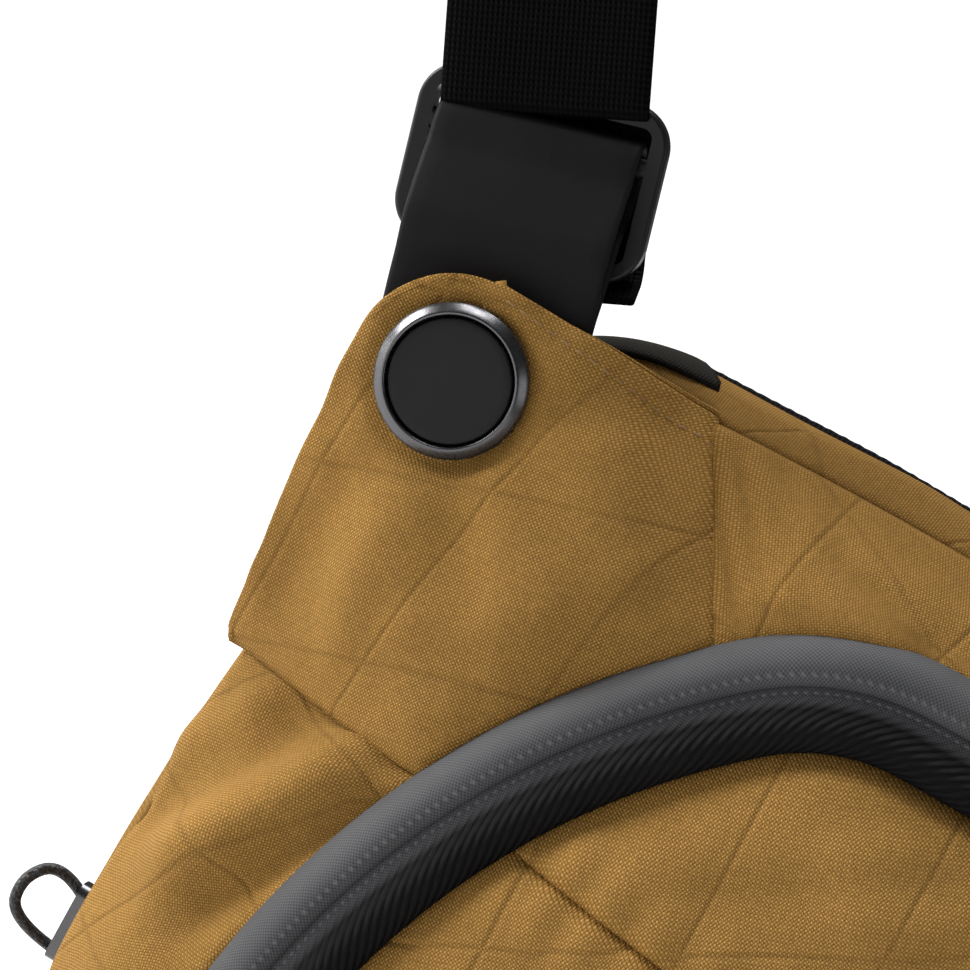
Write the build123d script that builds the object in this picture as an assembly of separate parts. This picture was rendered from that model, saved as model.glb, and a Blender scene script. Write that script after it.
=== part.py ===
from build123d import *
import math
import os

os.makedirs("parts", exist_ok=True)

# The bag stands upright: +X to its right, -Y out of its front, +Z up, z = 0 at its flat base.
# All sizes are millimetres.

# ---------------------------------------------------------------- driving dimensions
BAG_HALF_WIDTH = 157.0      # rear outline, at its widest
BAG_HEIGHT = 191.5          # rear outline, at its crown
BACK_FACE_Y = 40.0          # the face that lies on the wearer
BACK_THICK = 10.0
BINDING_DEPTH = 5.0
GUSSET_DEPTH = 24.0         # the band between the binding and the sloping panels
SHELL_THICK = 2.5
SLOPE_DEPTH = 28.0          # how far the sloping panels come forward
SEAM_Z = 101.0              # the level cross seam of the side and front panels

REAR = dict(half=BAG_HALF_WIDTH, crown=BAG_HEIGHT, base=0.0, top_r=900.0, corner_r=42.0,
            side_r=600.0, waist_z=80.0, foot_r=34.0)

# the arch that the main zip follows
ARCH_HALF_WIDTH = 118.5
ARCH_CROWN = 164.5
TAPE_OUTER_WIDTH = 9.0
ARCH = dict(half=ARCH_HALF_WIDTH, crown=ARCH_CROWN, base=TAPE_OUTER_WIDTH, top_r=450.0,
            corner_r=46.0, side_r=155.0, waist_z=40.0, foot_r=24.0)
COIL_SET = 3.0              # the coil lies this far in front of the sloping panels' edge
TAPE_THICK = 1.6
GROOVE_HALF = 1.1           # half the slit that the slider's neck runs in
ROLL_WIDTH = 13.0
ROLL_DEPTH = 7.0
ROLL_ROUND = 2.9
COIL_WIDTH = 3.0
COIL_THICK = 1.4
ZIP_MATE_GAP = 0.4

HINGE_Z = 38.0              # the flap folds down along this line
HINGE_GAP = 0.8
PANEL_CLEAR = 0.3           # between the flap's panels and the rolled edge
DOME_RISES = (0.0, 7.5, 13.5, 17.0)
DOME_SHRINK = (1.0, 0.93, 0.78, 0.50)
FRONT_THICK = 2.2
LINING_THICK = 0.8
BASE_PANEL_THICK = 5.0

# strap anchor, left side; the right one is its mirror image
DISC_X = BAG_HALF_WIDTH - 8.0
DISC_Z = BAG_HEIGHT - 29.5
DISC_R = 14.0
INSET_R = 11.5
RING_DEPTH = 3.6
INSET_DEPTH = 1.2
POST_R = 4.0
POST_FIT = 0.05
WASHER_R = 8.0
WASHER_THICK = 1.2
WING_THICK = 2.0
WING_BACK_THICK = 1.5
EAR_R = 19.0                # rounded tip of the wing about the disc
EAR_TURN = 4.0              # degrees past square at which the tip's arc ends
WING_OVERHANG = 3.0         # the wing's foot stands this far outside the bag
LAYER_GAP = 0.4
TAB_FRONT_GAP = 2.1         # between the wing and the tab's front ply
PLY_GAP = 0.2               # between the tab's two plies at the rivet

STRAP_WIDTH = 38.0
STRAP_THICK = 1.4
TAB_THICK = 2.0
TAB_LEAN = 20.0             # degrees outwards from upright
TAB_SHIFT = 2.3             # the tab's centre line passes this far inside the disc's
WEB_LEAN = 29.5
BUCKLE_WIDTH = 46.5
BUCKLE_HEIGHT = 33.0
BUCKLE_THICK = 4.5
BUCKLE_CORNER = 8.0
BAR = 4.0
SLOT_WIDTH = 40.0
UPPER_SLOT = 5.0
BUCKLE_REACH = 38.5         # disc centre to buckle centre, along the tab
BUCKLE_Y = 3.2
FIT = 0.3

SWIVEL = 16.0               # degrees each way
TONGUE_RISE = 11.0          # the reinforcing tongue stops here above the disc's centre
TONGUE_SWEEP = SWIVEL + 4.0  # and is cut back for the tab over this angle each way
SWIVEL_RADIUS = 82.0        # where the turning end of the strap meets the fixed run
SWIVEL_GAP = 0.5
TWIST_LENGTH = 90.0
TWIST_STEPS = 6
LOOP_SIDE_R = 110.0
LOOP_SIDE_TURN = 93.0

# main zip sliders, side by side at the crown
SLIDER_X = 9.5
SLIDER_LENGTH = 15.0
SLIDER_WIDTH = 11.0
SLIDER_THICK = 3.0
SLIDER_LIFT = 0.3
NECK_HALF = 0.8
PIVOT_R = 1.0
PIVOT_FIT = 0.06
PIVOT_STAND = 3.6
LUG_GAP = 5.0
PULL_LENGTH = 22.0
PULL_WIDTH = 8.0
PULL_THICK = 2.0

# side pocket zip in the left of the rear gusset
POCKET_Y = 21.0
POCKET_LOW_Z = 24.0
POCKET_HIGH_Z = 146.0
POCKET_SLOT = 9.0
POCKET_TAPE = 3.3
POCKET_DEEP = 70.0
SIDE_SLIDER_Z = 33.0
SIDE_SLIDER_LENGTH = 16.0
SIDE_SLIDER_WIDTH = 7.0
SIDE_SLIDER_THICK = 3.4
CORD_D = 2.3

# inside
DIVIDER_THICK = 3.0
DIVIDER_TOP_Z = 135.0
ORGANISER_INSET = 33.5      # its ends stand this far inside the zip's arch
ORGANISER_DEPTH = 8.0
ORGANISER_LOW_Z = 14.0
ORGANISER_TOP_Z = 95.0

# ---------------------------------------------------------------- derived places
GUSSET_REAR_Y = BACK_FACE_Y - BACK_THICK + 2.0
GUSSET_FRONT_Y = GUSSET_REAR_Y - GUSSET_DEPTH
SLOPE_FRONT_Y = GUSSET_FRONT_Y - SLOPE_DEPTH
ROLL_BACK_Y = SLOPE_FRONT_Y - COIL_SET
TAPE_RISE = COIL_SET + TAPE_THICK
ROLL_FRONT_Y = ROLL_BACK_Y - ROLL_DEPTH


# ---------------------------------------------------------------- outline tools
def meet(c1, r1, c2, r2):
    """The upper crossing of two circles in the XZ plane."""
    dx, dz = c2[0] - c1[0], c2[1] - c1[1]
    d = math.hypot(dx, dz)
    along = (r1 * r1 - r2 * r2 + d * d) / (2 * d)
    off = math.sqrt(r1 * r1 - along * along)
    x, z = c1[0] + along * dx / d, c1[1] + along * dz / d
    options = [(x + s * off * dz / d, z - s * off * dx / d) for s in (1, -1)]
    return max(options, key=lambda p: p[0] + p[1])


def beyond(c_from, c_to, r):
    """The point r past c_to on the line from c_from."""
    d = math.hypot(c_to[0] - c_from[0], c_to[1] - c_from[1])
    return (c_to[0] + r * (c_to[0] - c_from[0]) / d, c_to[1] + r * (c_to[1] - c_from[1]) / d)


def arc_mid(c, r, p, q):
    """The middle of the short arc from p to q about c."""
    mx, mz = (p[0] + q[0]) / 2 - c[0], (p[1] + q[1]) / 2 - c[1]
    d = math.hypot(mx, mz)
    return (c[0] + r * mx / d, c[1] + r * mz / d)


def outline(y, shape, grow=0.0, base=None, scale=1.0, about=0.0):
    """A closed loop in the plane y: crowned top, bowed sides, round corners, flat foot."""
    top_r, corner_r = shape["top_r"] + grow, shape["corner_r"] + grow
    side_r, foot_r = shape["side_r"] + grow, shape["foot_r"] + grow
    crown, half = shape["crown"] + grow, shape["half"] + grow
    low = (shape["base"] - grow) if base is None else base
    top_c = (0.0, crown - top_r)
    side_c = (half - side_r, shape["waist_z"])
    corner_c = meet(top_c, top_r - corner_r, side_c, side_r - corner_r)
    foot_z = low + foot_r
    foot_c = (side_c[0] + math.sqrt((side_r - foot_r) ** 2 - (foot_z - side_c[1]) ** 2), foot_z)
    a = beyond(top_c, corner_c, corner_r)
    b = beyond(side_c, corner_c, corner_r)
    c = beyond(side_c, foot_c, foot_r)
    d = (foot_c[0], low)

    def at(p, mirror=1):
        return Vector(mirror * p[0] * scale, y, about + (p[1] - about) * scale)

    edges = [Line(at(d, -1), at(d))]
    right = [(d, arc_mid(foot_c, foot_r, d, c), c), (c, arc_mid(side_c, side_r, c, b), b),
             (b, arc_mid(corner_c, corner_r, b, a), a)]
    edges += [ThreePointArc(at(p), at(m), at(q)) for p, m, q in right]
    edges.append(ThreePointArc(at(a), at((0.0, crown)), at(a, -1)))
    edges += [ThreePointArc(at(q, -1), at(m, -1), at(p, -1)) for p, m, q in reversed(right)]
    return Wire(edges)


def bridge(w0, w1):
    """The solid between two like loops, with straight rulings."""
    return Solid.make_loft([w0, w1], ruled=True)


def slab(shape, y0, y1, grow=0.0, base=None):
    """The region inside an outline, from y0 to y1."""
    return extrude(Face(outline(y0, shape, grow, base)), amount=y1 - y0, dir=(0, 1, 0))


def ring(shape, y0, y1, outer, inner, base_out=None, base_in=None):
    return slab(shape, y0, y1, outer, base_out) - slab(shape, y0, y1, inner, base_in)


def prism(points, y0=-80.0, y1=80.0):
    """A straight-sided column along Y over a polygon of (x, z) points."""
    loop = Wire.make_polygon([Vector(x, y0, z) for x, z in points], close=True)
    return extrude(Face(loop), amount=y1 - y0, dir=(0, 1, 0))


def block(x0, x1, y0, y1, z0, z1):
    return Pos((x0 + x1) / 2, (y0 + y1) / 2, (z0 + z1) / 2) * Box(x1 - x0, y1 - y0, z1 - z0)


def rod_y(x, z, r, y0, y1):
    """A round rod along Y."""
    return Pos(x, (y0 + y1) / 2, z) * Rot(90, 0, 0) * Cylinder(r, y1 - y0)


def rod_x(x0, x1, y, z, r):
    """A round rod along X."""
    return Pos((x0 + x1) / 2, y, z) * Rot(0, 90, 0) * Cylinder(r, x1 - x0)


def flipped(shape):
    """The right-hand twin of a left-hand piece."""
    return mirror(shape, about=Plane.YZ)


def save(name, shape):
    found = shape.solids()
    export_step(found[0] if len(found) == 1 else Compound(found), f"parts/{name}.step")


# ---------------------------------------------------------------- back and shell
def back_panel():
    pad = slab(REAR, BACK_FACE_Y - BACK_THICK, BACK_FACE_Y, -SHELL_THICK)
    rim = pad.faces().sort_by(Axis.Y)[-1].edges()
    return fillet(rim, 3.0)


def back_stiffener():
    return slab(REAR, BACK_FACE_Y - BACK_THICK - 1.5, BACK_FACE_Y - BACK_THICK, -SHELL_THICK - 6.0)


def edge_binding():
    return ring(REAR, GUSSET_REAR_Y, GUSSET_REAR_Y + BINDING_DEPTH, 0.0, -SHELL_THICK)


def pocket_cut():
    return block(-BAG_HALF_WIDTH - 5, -BAG_HALF_WIDTH + 12, POCKET_Y - POCKET_SLOT / 2,
                 POCKET_Y + POCKET_SLOT / 2, POCKET_LOW_Z, POCKET_HIGH_Z)


def rear_gusset():
    return ring(REAR, GUSSET_FRONT_Y, GUSSET_REAR_Y, 0.0, -SHELL_THICK) - pocket_cut()


def slope_solid(grow):
    """The tapering body between the rear gusset and the zip arch."""
    return bridge(outline(GUSSET_FRONT_Y, REAR, grow),
                  outline(SLOPE_FRONT_Y, ARCH, TAPE_OUTER_WIDTH + grow))


SEAM_LOW = (34.5 - ARCH_HALF_WIDTH, ARCH_CROWN - 13.5)      # the slanted seam meets the zip here
SEAM_HIGH = (50.0 - BAG_HALF_WIDTH, BAG_HEIGHT - 10.0)      # and the gusset here


def along_seam(t):
    return (SEAM_LOW[0] + t * (SEAM_HIGH[0] - SEAM_LOW[0]), SEAM_LOW[1] + t * (SEAM_HIGH[1] - SEAM_LOW[1]))


FAR = 260.0                     # past everything
SEAM_IN = along_seam(-1.2)
SEAM_OUT = along_seam(1.2)
FOOT_IN = (-ARCH_HALF_WIDTH + 20.0, 42.0)
FOOT_OUT = (-BAG_HALF_WIDTH, -18.0)


def x_mirrored(p):
    return (-p[0], p[1])


REGIONS = {
    "top_panel": [SEAM_IN, SEAM_OUT, (SEAM_OUT[0], FAR), (-SEAM_OUT[0], FAR),
                  x_mirrored(SEAM_OUT), x_mirrored(SEAM_IN)],
    "left_corner_panel": [SEAM_IN, SEAM_OUT, (SEAM_OUT[0], FAR), (-FAR, FAR), (-FAR, SEAM_Z),
                          (SEAM_IN[0], SEAM_Z)],
    "left_side_panel": [(SEAM_IN[0], SEAM_Z), (-FAR, SEAM_Z), (-FAR, FOOT_OUT[1]), FOOT_OUT, FOOT_IN],
    "bottom_panel": [FOOT_IN, FOOT_OUT, x_mirrored(FOOT_OUT), x_mirrored(FOOT_IN)],
}


def front_base_panel():
    """The fixed front wall below the flap's fold line."""
    wall = slab(ARCH, SLOPE_FRONT_Y - BASE_PANEL_THICK, SLOPE_FRONT_Y, TAPE_OUTER_WIDTH)
    wall = wall & block(-FAR, FAR, -90, 0, -10, HINGE_Z - HINGE_GAP / 2)
    front_edges = wall.faces().sort_by(Axis.Y)[0].edges().filter_by_position(Axis.Z, -1, HINGE_Z - 8)
    return fillet(front_edges, 3.0)


def above_hinge():
    return block(-FAR, FAR, -90, 60, HINGE_Z + HINGE_GAP / 2, FAR)


def tape_outer():
    """Zip tape sewn to the sloping panels; it climbs towards the zip."""
    front = bridge(outline(SLOPE_FRONT_Y, ARCH, TAPE_OUTER_WIDTH),
                   outline(SLOPE_FRONT_Y - TAPE_RISE, ARCH, GROOVE_HALF))
    behind = Pos(0, TAPE_THICK, 0) * front
    hole = slab(ARCH, SLOPE_FRONT_Y - TAPE_RISE - 5, SLOPE_FRONT_Y + 5, GROOVE_HALF)
    tape = (front - behind) - hole
    return tape & above_hinge()


def coil_outer():
    band = ring(ARCH, ROLL_BACK_Y, ROLL_BACK_Y + COIL_THICK, COIL_WIDTH, 0.0) - tape_outer()
    return band & above_hinge()


# ---------------------------------------------------------------- flap
def roll():
    """The rolled, padded inner edge of the zip."""
    band = slab(ARCH, ROLL_FRONT_Y, ROLL_BACK_Y, -GROOVE_HALF)
    band -= slab(ARCH, ROLL_FRONT_Y, ROLL_BACK_Y, -GROOVE_HALF - ROLL_WIDTH)
    front = band.faces().sort_by(Axis.Y)[0]
    band = fillet(front.edges(), ROLL_ROUND)
    return band & above_hinge()


def coil_inner():
    band = ring(ARCH, ROLL_BACK_Y, ROLL_BACK_Y + COIL_THICK, -ZIP_MATE_GAP, -COIL_WIDTH)
    return band & above_hinge()


DOME_EDGE = -GROOVE_HALF - ROLL_WIDTH - PANEL_CLEAR
DOME_MID_Z = (ARCH_CROWN + HINGE_Z) / 2 - 4.0


def dome_solid(shift, grow):
    """A shallow dome over the flap, moved back by shift."""
    loops = [outline(ROLL_BACK_Y - rise + shift, ARCH, DOME_EDGE + grow, HINGE_Z + HINGE_GAP,
                     scale=s, about=DOME_MID_Z) for rise, s in zip(DOME_RISES, DOME_SHRINK)]
    body = bridge(loops[0], loops[1])
    for near, far in zip(loops[1:], loops[2:]):
        body += bridge(near, far)
    return body


def dome_skin(back, thick, grow):
    return dome_solid(back, grow) - dome_solid(back + thick, grow)


# ---------------------------------------------------------------- wings
def ear_outline():
    """The wing's face: round tip about the disc, hem to the slanted seam, side edge to the cross seam."""
    def on_tip(degrees):
        turn = math.radians(degrees)
        return (-DISC_X + EAR_R * math.cos(turn), DISC_Z + EAR_R * math.sin(turn))

    tangent_left, top, tangent_right = on_tip(180 - EAR_TURN), on_tip(135), on_tip(90 - EAR_TURN)
    side_foot = (-BAG_HALF_WIDTH - WING_OVERHANG, SEAM_Z)

    def at(p):
        return Vector(p[0], -80.0, p[1])

    edges = [ThreePointArc(at(tangent_left), at(top), at(tangent_right)),
             Line(at(tangent_right), at(SEAM_HIGH)), Line(at(SEAM_HIGH), at(SEAM_LOW)),
             Line(at(SEAM_LOW), at((SEAM_IN[0], SEAM_Z))), Line(at((SEAM_IN[0], SEAM_Z)), at(side_foot)),
             Line(at(side_foot), at(tangent_left))]
    return extrude(Face(Wire(edges)), amount=160, dir=(0, 1, 0))


WING_FACE_Y = SLOPE_FRONT_Y + 6.4   # the wing's front face at the disc

# level sections of the wing's face: height, then its (x, y) at the bag, at the knee and at the free edge
WING_SECTIONS = (
    (SEAM_Z, (-ARCH_HALF_WIDTH + 2.0, SLOPE_FRONT_Y), (-ARCH_HALF_WIDTH - 16.5, SLOPE_FRONT_Y + 9.0),
     (-BAG_HALF_WIDTH - 4.0, GUSSET_FRONT_Y - 2.0)),
    (SEAM_LOW[1] - 10.0, (SEAM_LOW[0] - 2.0, SLOPE_FRONT_Y), (SEAM_LOW[0] - 26.0, SLOPE_FRONT_Y + 1.5),
     (-DISC_X - EAR_R, WING_FACE_Y + 1.6)),
    (DISC_Z + EAR_R + 2.0, (SEAM_HIGH[0], GUSSET_FRONT_Y - 4.0), (SEAM_HIGH[0] - 16.0, WING_FACE_Y + 3.1),
     (-DISC_X - EAR_R, WING_FACE_Y - 1.4)),
)


def wing_front():
    loops = []
    for z, inner, knee, outer in WING_SECTIONS:
        front = [(inner[0] + 8, inner[1] + 0.1), knee, (outer[0] - 4, outer[1])]
        rear = [(x, y + WING_THICK) for x, y in reversed(front)]
        loops.append(Wire.make_polygon([Vector(x, y, z) for x, y in front + rear], close=True))
    sheet = Solid.make_loft(loops, ruled=True)
    sheet = sheet & ear_outline()
    sheet -= slope_solid(0.0)
    sheet -= slab(ARCH, -80, 0, TAPE_OUTER_WIDTH)
    sheet -= rod_y(-DISC_X, DISC_Z, DISC_R + 0.2, -40, RING_BACK_Y)
    return sheet - rod_y(-DISC_X, DISC_Z, POST_R, -40, 40)


RING_BACK_Y = WING_FACE_Y
TAB_FRONT_Y = WING_FACE_Y + WING_THICK + TAB_FRONT_GAP
TAB_REAR_Y = TAB_FRONT_Y + 2 * TAB_THICK + PLY_GAP
WING_BACK_Y = TAB_REAR_Y + 2 * LAYER_GAP
WASHER_Y = WING_BACK_Y + WING_BACK_THICK


def wing_back():
    """The reinforcing tongue behind the tab, held by the washer."""
    keep = block(-FAR, FAR, WING_BACK_Y, WASHER_Y, SEAM_LOW[1] - 10.0, FAR)
    sheet = ear_outline() & keep
    sheet -= slope_solid(0.0)
    for lean in (TAB_LEAN - TONGUE_SWEEP, TAB_LEAN, TAB_LEAN + TONGUE_SWEEP):
        sheet -= leaning(lean) * Pos(0, TONGUE_RISE + FAR, 0) * Box(2 * FAR, 2 * FAR, 2 * FAR)
    return sheet - rod_y(-DISC_X, DISC_Z, POST_R, -40, 40)


def rivet_ring():
    body = rod_y(-DISC_X, DISC_Z, DISC_R, RING_BACK_Y - RING_DEPTH, RING_BACK_Y)
    rim = body.faces().sort_by(Axis.Y)[0].edges()
    body = chamfer(rim, 1.0)
    body -= rod_y(-DISC_X, DISC_Z, INSET_R, RING_BACK_Y - RING_DEPTH - 1, RING_BACK_Y - RING_DEPTH + 1.8)
    return body - rod_y(-DISC_X, DISC_Z, POST_R, RING_BACK_Y - 1.5, RING_BACK_Y + 1)


def cap_inset():
    y0 = RING_BACK_Y - RING_DEPTH + 1.8
    return rod_y(-DISC_X, DISC_Z, INSET_R - 0.3, y0 - INSET_DEPTH, y0)


def rivet_post():
    return rod_y(-DISC_X, DISC_Z, POST_R, RING_BACK_Y - 1.5, WASHER_Y + WASHER_THICK)


def rivet_washer():
    body = rod_y(-DISC_X, DISC_Z, WASHER_R, WASHER_Y, WASHER_Y + WASHER_THICK)
    return body - rod_y(-DISC_X, DISC_Z, POST_R, WASHER_Y - 1, WASHER_Y + WASHER_THICK + 1)


# ---------------------------------------------------------------- anchor
def leaning(degrees):
    """A frame at the disc whose local Y runs up the strap and local Z out of the front."""
    lean = math.radians(degrees)
    up = Vector(-math.sin(lean), 0, math.cos(lean))
    across = Vector(math.cos(lean), 0, math.sin(lean))
    return Plane(origin=(-DISC_X, 0, DISC_Z), x_dir=across, z_dir=across.cross(up))


def anchor_frame():
    """The tab's and the buckle's own frame."""
    plane = leaning(TAB_LEAN)
    return Plane(origin=plane.from_local_coords(Vector(TAB_SHIFT, 0, 0)), x_dir=plane.x_dir, z_dir=plane.z_dir)


MID_BAR = BUCKLE_REACH + BUCKLE_HEIGHT / 2 - BAR - UPPER_SLOT - BAR / 2
TOP_BAR = BUCKLE_REACH + BUCKLE_HEIGHT / 2 - BAR / 2
LOW_BAR = BUCKLE_REACH - BUCKLE_HEIGHT / 2 + BAR / 2


def ribbon(points, radii, thick, width):
    """A flat strip along a route of (height, y) points, width across, in the disc's own frame."""
    route = FilletPolyline(*[(h, -y) for h, y in points], radius=radii)
    face = trace(route, line_width=thick)
    return Plane.YZ * extrude(face, amount=width / 2, both=True)


def tab():
    loop_r = BUCKLE_THICK / 2 + TAB_THICK / 2 + FIT
    front_y = TAB_FRONT_Y + TAB_THICK / 2
    rear_y = TAB_REAR_Y - TAB_THICK / 2
    points = [(-16, rear_y), (15, rear_y), (MID_BAR - 6, BUCKLE_Y + loop_r),
              (MID_BAR + loop_r, BUCKLE_Y + loop_r), (MID_BAR + loop_r, BUCKLE_Y - loop_r),
              (MID_BAR - 4, BUCKLE_Y - loop_r - 1.0), (MID_BAR - 17, front_y + 1.0),
              (15, front_y), (-16, front_y)]
    radii = [8, 8, loop_r * 0.95, loop_r * 0.95, 10, 18, 18]
    strip = ribbon(points, radii, TAB_THICK, STRAP_WIDTH)
    strip = anchor_frame() * strip
    return strip - rod_y(-DISC_X, DISC_Z, POST_R + POST_FIT, -60, 60)


def buckle():
    """Three-bar strap buckle; the tab loops round its middle bar."""
    frame = RectangleRounded(BUCKLE_WIDTH, BUCKLE_HEIGHT, BUCKLE_CORNER)
    frame -= RectangleRounded(SLOT_WIDTH, BUCKLE_HEIGHT - 2 * BAR, 2.0)
    frame = extrude(frame, amount=BUCKLE_THICK / 2, both=True)
    outside = frame.faces().filter_by(Axis.Z).edges().filter_by(
        lambda e: e.bounding_box().size.X > SLOT_WIDTH - 3 or abs(e.center().X) > SLOT_WIDTH / 2 + 0.5)
    frame = fillet(outside, 0.8)
    bar = Plane.YZ * extrude(RectangleRounded(BAR, BUCKLE_THICK, 1.4), amount=SLOT_WIDTH / 2, both=True)
    frame += Pos(0, MID_BAR - BUCKLE_REACH, 0) * bar
    return anchor_frame() * Pos(0, BUCKLE_REACH, -BUCKLE_Y) * frame


def web_frame():
    """The strap's own frame where it passes the buckle's upper slot."""
    slot = anchor_frame().from_local_coords(Vector(0, WEB_SLOT, 0))
    plane = leaning(WEB_LEAN)
    return Plane(origin=(slot.X, 0, slot.Z), x_dir=plane.x_dir, z_dir=plane.z_dir)


LOOP_OUT = BUCKLE_THICK / 2 + TAB_THICK + FIT
WEB_SLOT = MID_BAR + LOOP_OUT + 0.5 + STRAP_THICK / 2
WEB_BACK_Y = BUCKLE_Y + LOOP_OUT + 0.2 + STRAP_THICK / 2
TAIL_H = 17.0
TAIL_Y = WASHER_Y + WASHER_THICK + 0.9


def strap_end():
    """The strap's turning end: down the front, through the upper slot, and behind to its tail."""
    points = [(TAIL_H, TAIL_Y), (LOW_BAR - 3, WEB_BACK_Y - 1.0), (LOW_BAR + 5, WEB_BACK_Y),
              (WEB_SLOT, WEB_BACK_Y), (WEB_SLOT, 0), (SWIVEL_RADIUS + 20, 0)]
    strip = ribbon(points, [6, 12, 1.6, 1.6], STRAP_THICK, 1.6 * STRAP_WIDTH)
    strip = anchor_frame() * strip
    lane = web_frame() * Box(STRAP_WIDTH, 4 * SWIVEL_RADIUS, 120)
    return strip & lane & rod_y(-DISC_X, DISC_Z, SWIVEL_RADIUS, -60, 60)


# ---------------------------------------------------------------- shoulder loop
def twisted_run(frame, start):
    """A quarter turn of the strap about its own line."""
    loops = []
    for i in range(TWIST_STEPS + 1):
        turn = math.radians(90.0 * i / TWIST_STEPS)
        wide = Vector(math.cos(turn), 0, math.sin(turn)) * (STRAP_WIDTH / 2)
        thin = Vector(-math.sin(turn), 0, math.cos(turn)) * (STRAP_THICK / 2)
        mid = Vector(0, start + TWIST_LENGTH * i / TWIST_STEPS, 0)
        corners = [mid + wide + thin, mid - wide + thin, mid - wide - thin, mid + wide - thin]
        loops.append(Wire.make_polygon([frame.from_local_coords(p) for p in corners], close=True))
    return Solid.make_loft(loops, ruled=True)


def arc_band(c, r, a0, a1):
    """Strap along an arc in the XZ plane, its width along Y."""
    def at(radius, a):
        return Vector(c[0] + radius * math.cos(a), -STRAP_WIDTH / 2, c[1] + radius * math.sin(a))

    near, far, mid = r - STRAP_THICK / 2, r + STRAP_THICK / 2, (a0 + a1) / 2
    edges = [ThreePointArc(at(near, a0), at(near, mid), at(near, a1)), Line(at(near, a1), at(far, a1)),
             ThreePointArc(at(far, a1), at(far, mid), at(far, a0)), Line(at(far, a0), at(near, a0))]
    return extrude(Face(Wire(edges)), amount=STRAP_WIDTH, dir=(0, 1, 0))


def webbing_half():
    """The fixed run of the shoulder strap from the left anchor to the top of the loop."""
    frame = web_frame()
    start = SWIVEL_RADIUS - WEB_SLOT + 8
    straight = frame * Pos(0, start / 2, 0) * Box(STRAP_WIDTH, start, STRAP_THICK)
    straight -= rod_y(-DISC_X, DISC_Z, SWIVEL_RADIUS + SWIVEL_GAP, -60, 60)
    half = straight + twisted_run(frame, start)
    end = frame.from_local_coords(Vector(0, start + TWIST_LENGTH, 0))
    lean = math.radians(WEB_LEAN)
    side_c = (end.X + LOOP_SIDE_R * math.cos(lean), end.Z + LOOP_SIDE_R * math.sin(lean))
    a0 = math.pi + lean
    a1 = a0 - math.radians(LOOP_SIDE_TURN)
    half += arc_band(side_c, LOOP_SIDE_R, a0, a1)
    join_x = side_c[0] + LOOP_SIDE_R * math.cos(a1)
    top_r = -join_x / -math.cos(a1)
    top_c = (0.0, side_c[1] + LOOP_SIDE_R * math.sin(a1) - top_r * math.sin(a1))
    return half + arc_band(top_c, top_r, a1, math.pi / 2)


# ---------------------------------------------------------------- main zip hardware
CROWN_C = (0.0, ARCH_CROWN - ARCH["top_r"])
SLIDER_FRONT_Y = ROLL_FRONT_Y - SLIDER_LIFT - SLIDER_THICK
PIVOT_Y = SLIDER_FRONT_Y - PIVOT_STAND


def along_crown(shape):
    """Turns a piece made at the crown to the left slider's parked place."""
    turn = math.degrees(math.asin(SLIDER_X / ARCH["top_r"]))
    return Pos(CROWN_C[0], 0, CROWN_C[1]) * Rot(0, -turn, 0) * Pos(-CROWN_C[0], 0, -CROWN_C[1]) * shape


def slider():
    half = SLIDER_LENGTH / 2
    crown = block(-half, half, SLIDER_FRONT_Y, SLIDER_FRONT_Y + SLIDER_THICK,
                  ARCH_CROWN - SLIDER_WIDTH / 2, ARCH_CROWN + SLIDER_WIDTH / 2)
    crown = fillet(crown.edges().filter_by(Axis.Y), 3.0)
    crown += block(-half + 3, half - 3, SLIDER_FRONT_Y + SLIDER_THICK, ROLL_BACK_Y - FIT,
                   ARCH_CROWN - NECK_HALF, ARCH_CROWN + NECK_HALF)
    for side in (-1, 1):
        x0 = side * LUG_GAP / 2
        x1 = side * (LUG_GAP / 2 + 1.6)
        crown += block(min(x0, x1), max(x0, x1), PIVOT_Y - 1.8, SLIDER_FRONT_Y,
                       ARCH_CROWN - 1.8, ARCH_CROWN + 1.8)
    crown += rod_x(-LUG_GAP / 2, LUG_GAP / 2, PIVOT_Y, ARCH_CROWN, PIVOT_R)
    return along_crown(crown)


def pull():
    sleeve_half = LUG_GAP / 2 - 0.2
    z = ARCH_CROWN
    body = rod_x(-sleeve_half, sleeve_half, PIVOT_Y, z, PIVOT_R + 1.2)
    body += block(-sleeve_half, sleeve_half, PIVOT_Y - PULL_THICK / 2, PIVOT_Y + PULL_THICK / 2, z - 6, z)
    plate = block(-PULL_WIDTH / 2, PULL_WIDTH / 2, PIVOT_Y - PULL_THICK / 2, PIVOT_Y + PULL_THICK / 2,
                  z - PULL_LENGTH, z - 5)
    body += fillet(plate.edges().filter_by(Axis.Y), 2.2)
    body -= rod_x(-LUG_GAP, LUG_GAP, PIVOT_Y, z, PIVOT_R + PIVOT_FIT)
    return along_crown(body)


def zip_end_stops():
    """A bar tack block at each foot of the arch, on the outer tape."""
    y1 = SLOPE_FRONT_Y - TAPE_RISE + 0.6
    stop = ring(ARCH, y1 - 1.8, y1, 4.5, GROOVE_HALF) - tape_outer()
    low = stop & block(-FAR, FAR, -90, 60, HINGE_Z + 1, HINGE_Z + 5)
    return low


# ---------------------------------------------------------------- side pocket
SIDE_C = (REAR["side_r"] - BAG_HALF_WIDTH, REAR["waist_z"])


def pocket_band(y0, y1, outer, inner):
    band = ring(REAR, y0, y1, outer, inner)
    return band & block(-FAR, 0, -90, 90, POCKET_LOW_Z, POCKET_HIGH_Z)


def pocket_tapes():
    y0, y1 = POCKET_Y - POCKET_SLOT / 2, POCKET_Y + POCKET_SLOT / 2
    return (pocket_band(y0, y0 + POCKET_TAPE, -0.4, -1.6)
            + pocket_band(y1 - POCKET_TAPE, y1, -0.4, -1.6))


def pocket_coil():
    return pocket_band(POCKET_Y - 2.6, POCKET_Y + 2.6, -1.6, -3.0)


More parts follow.
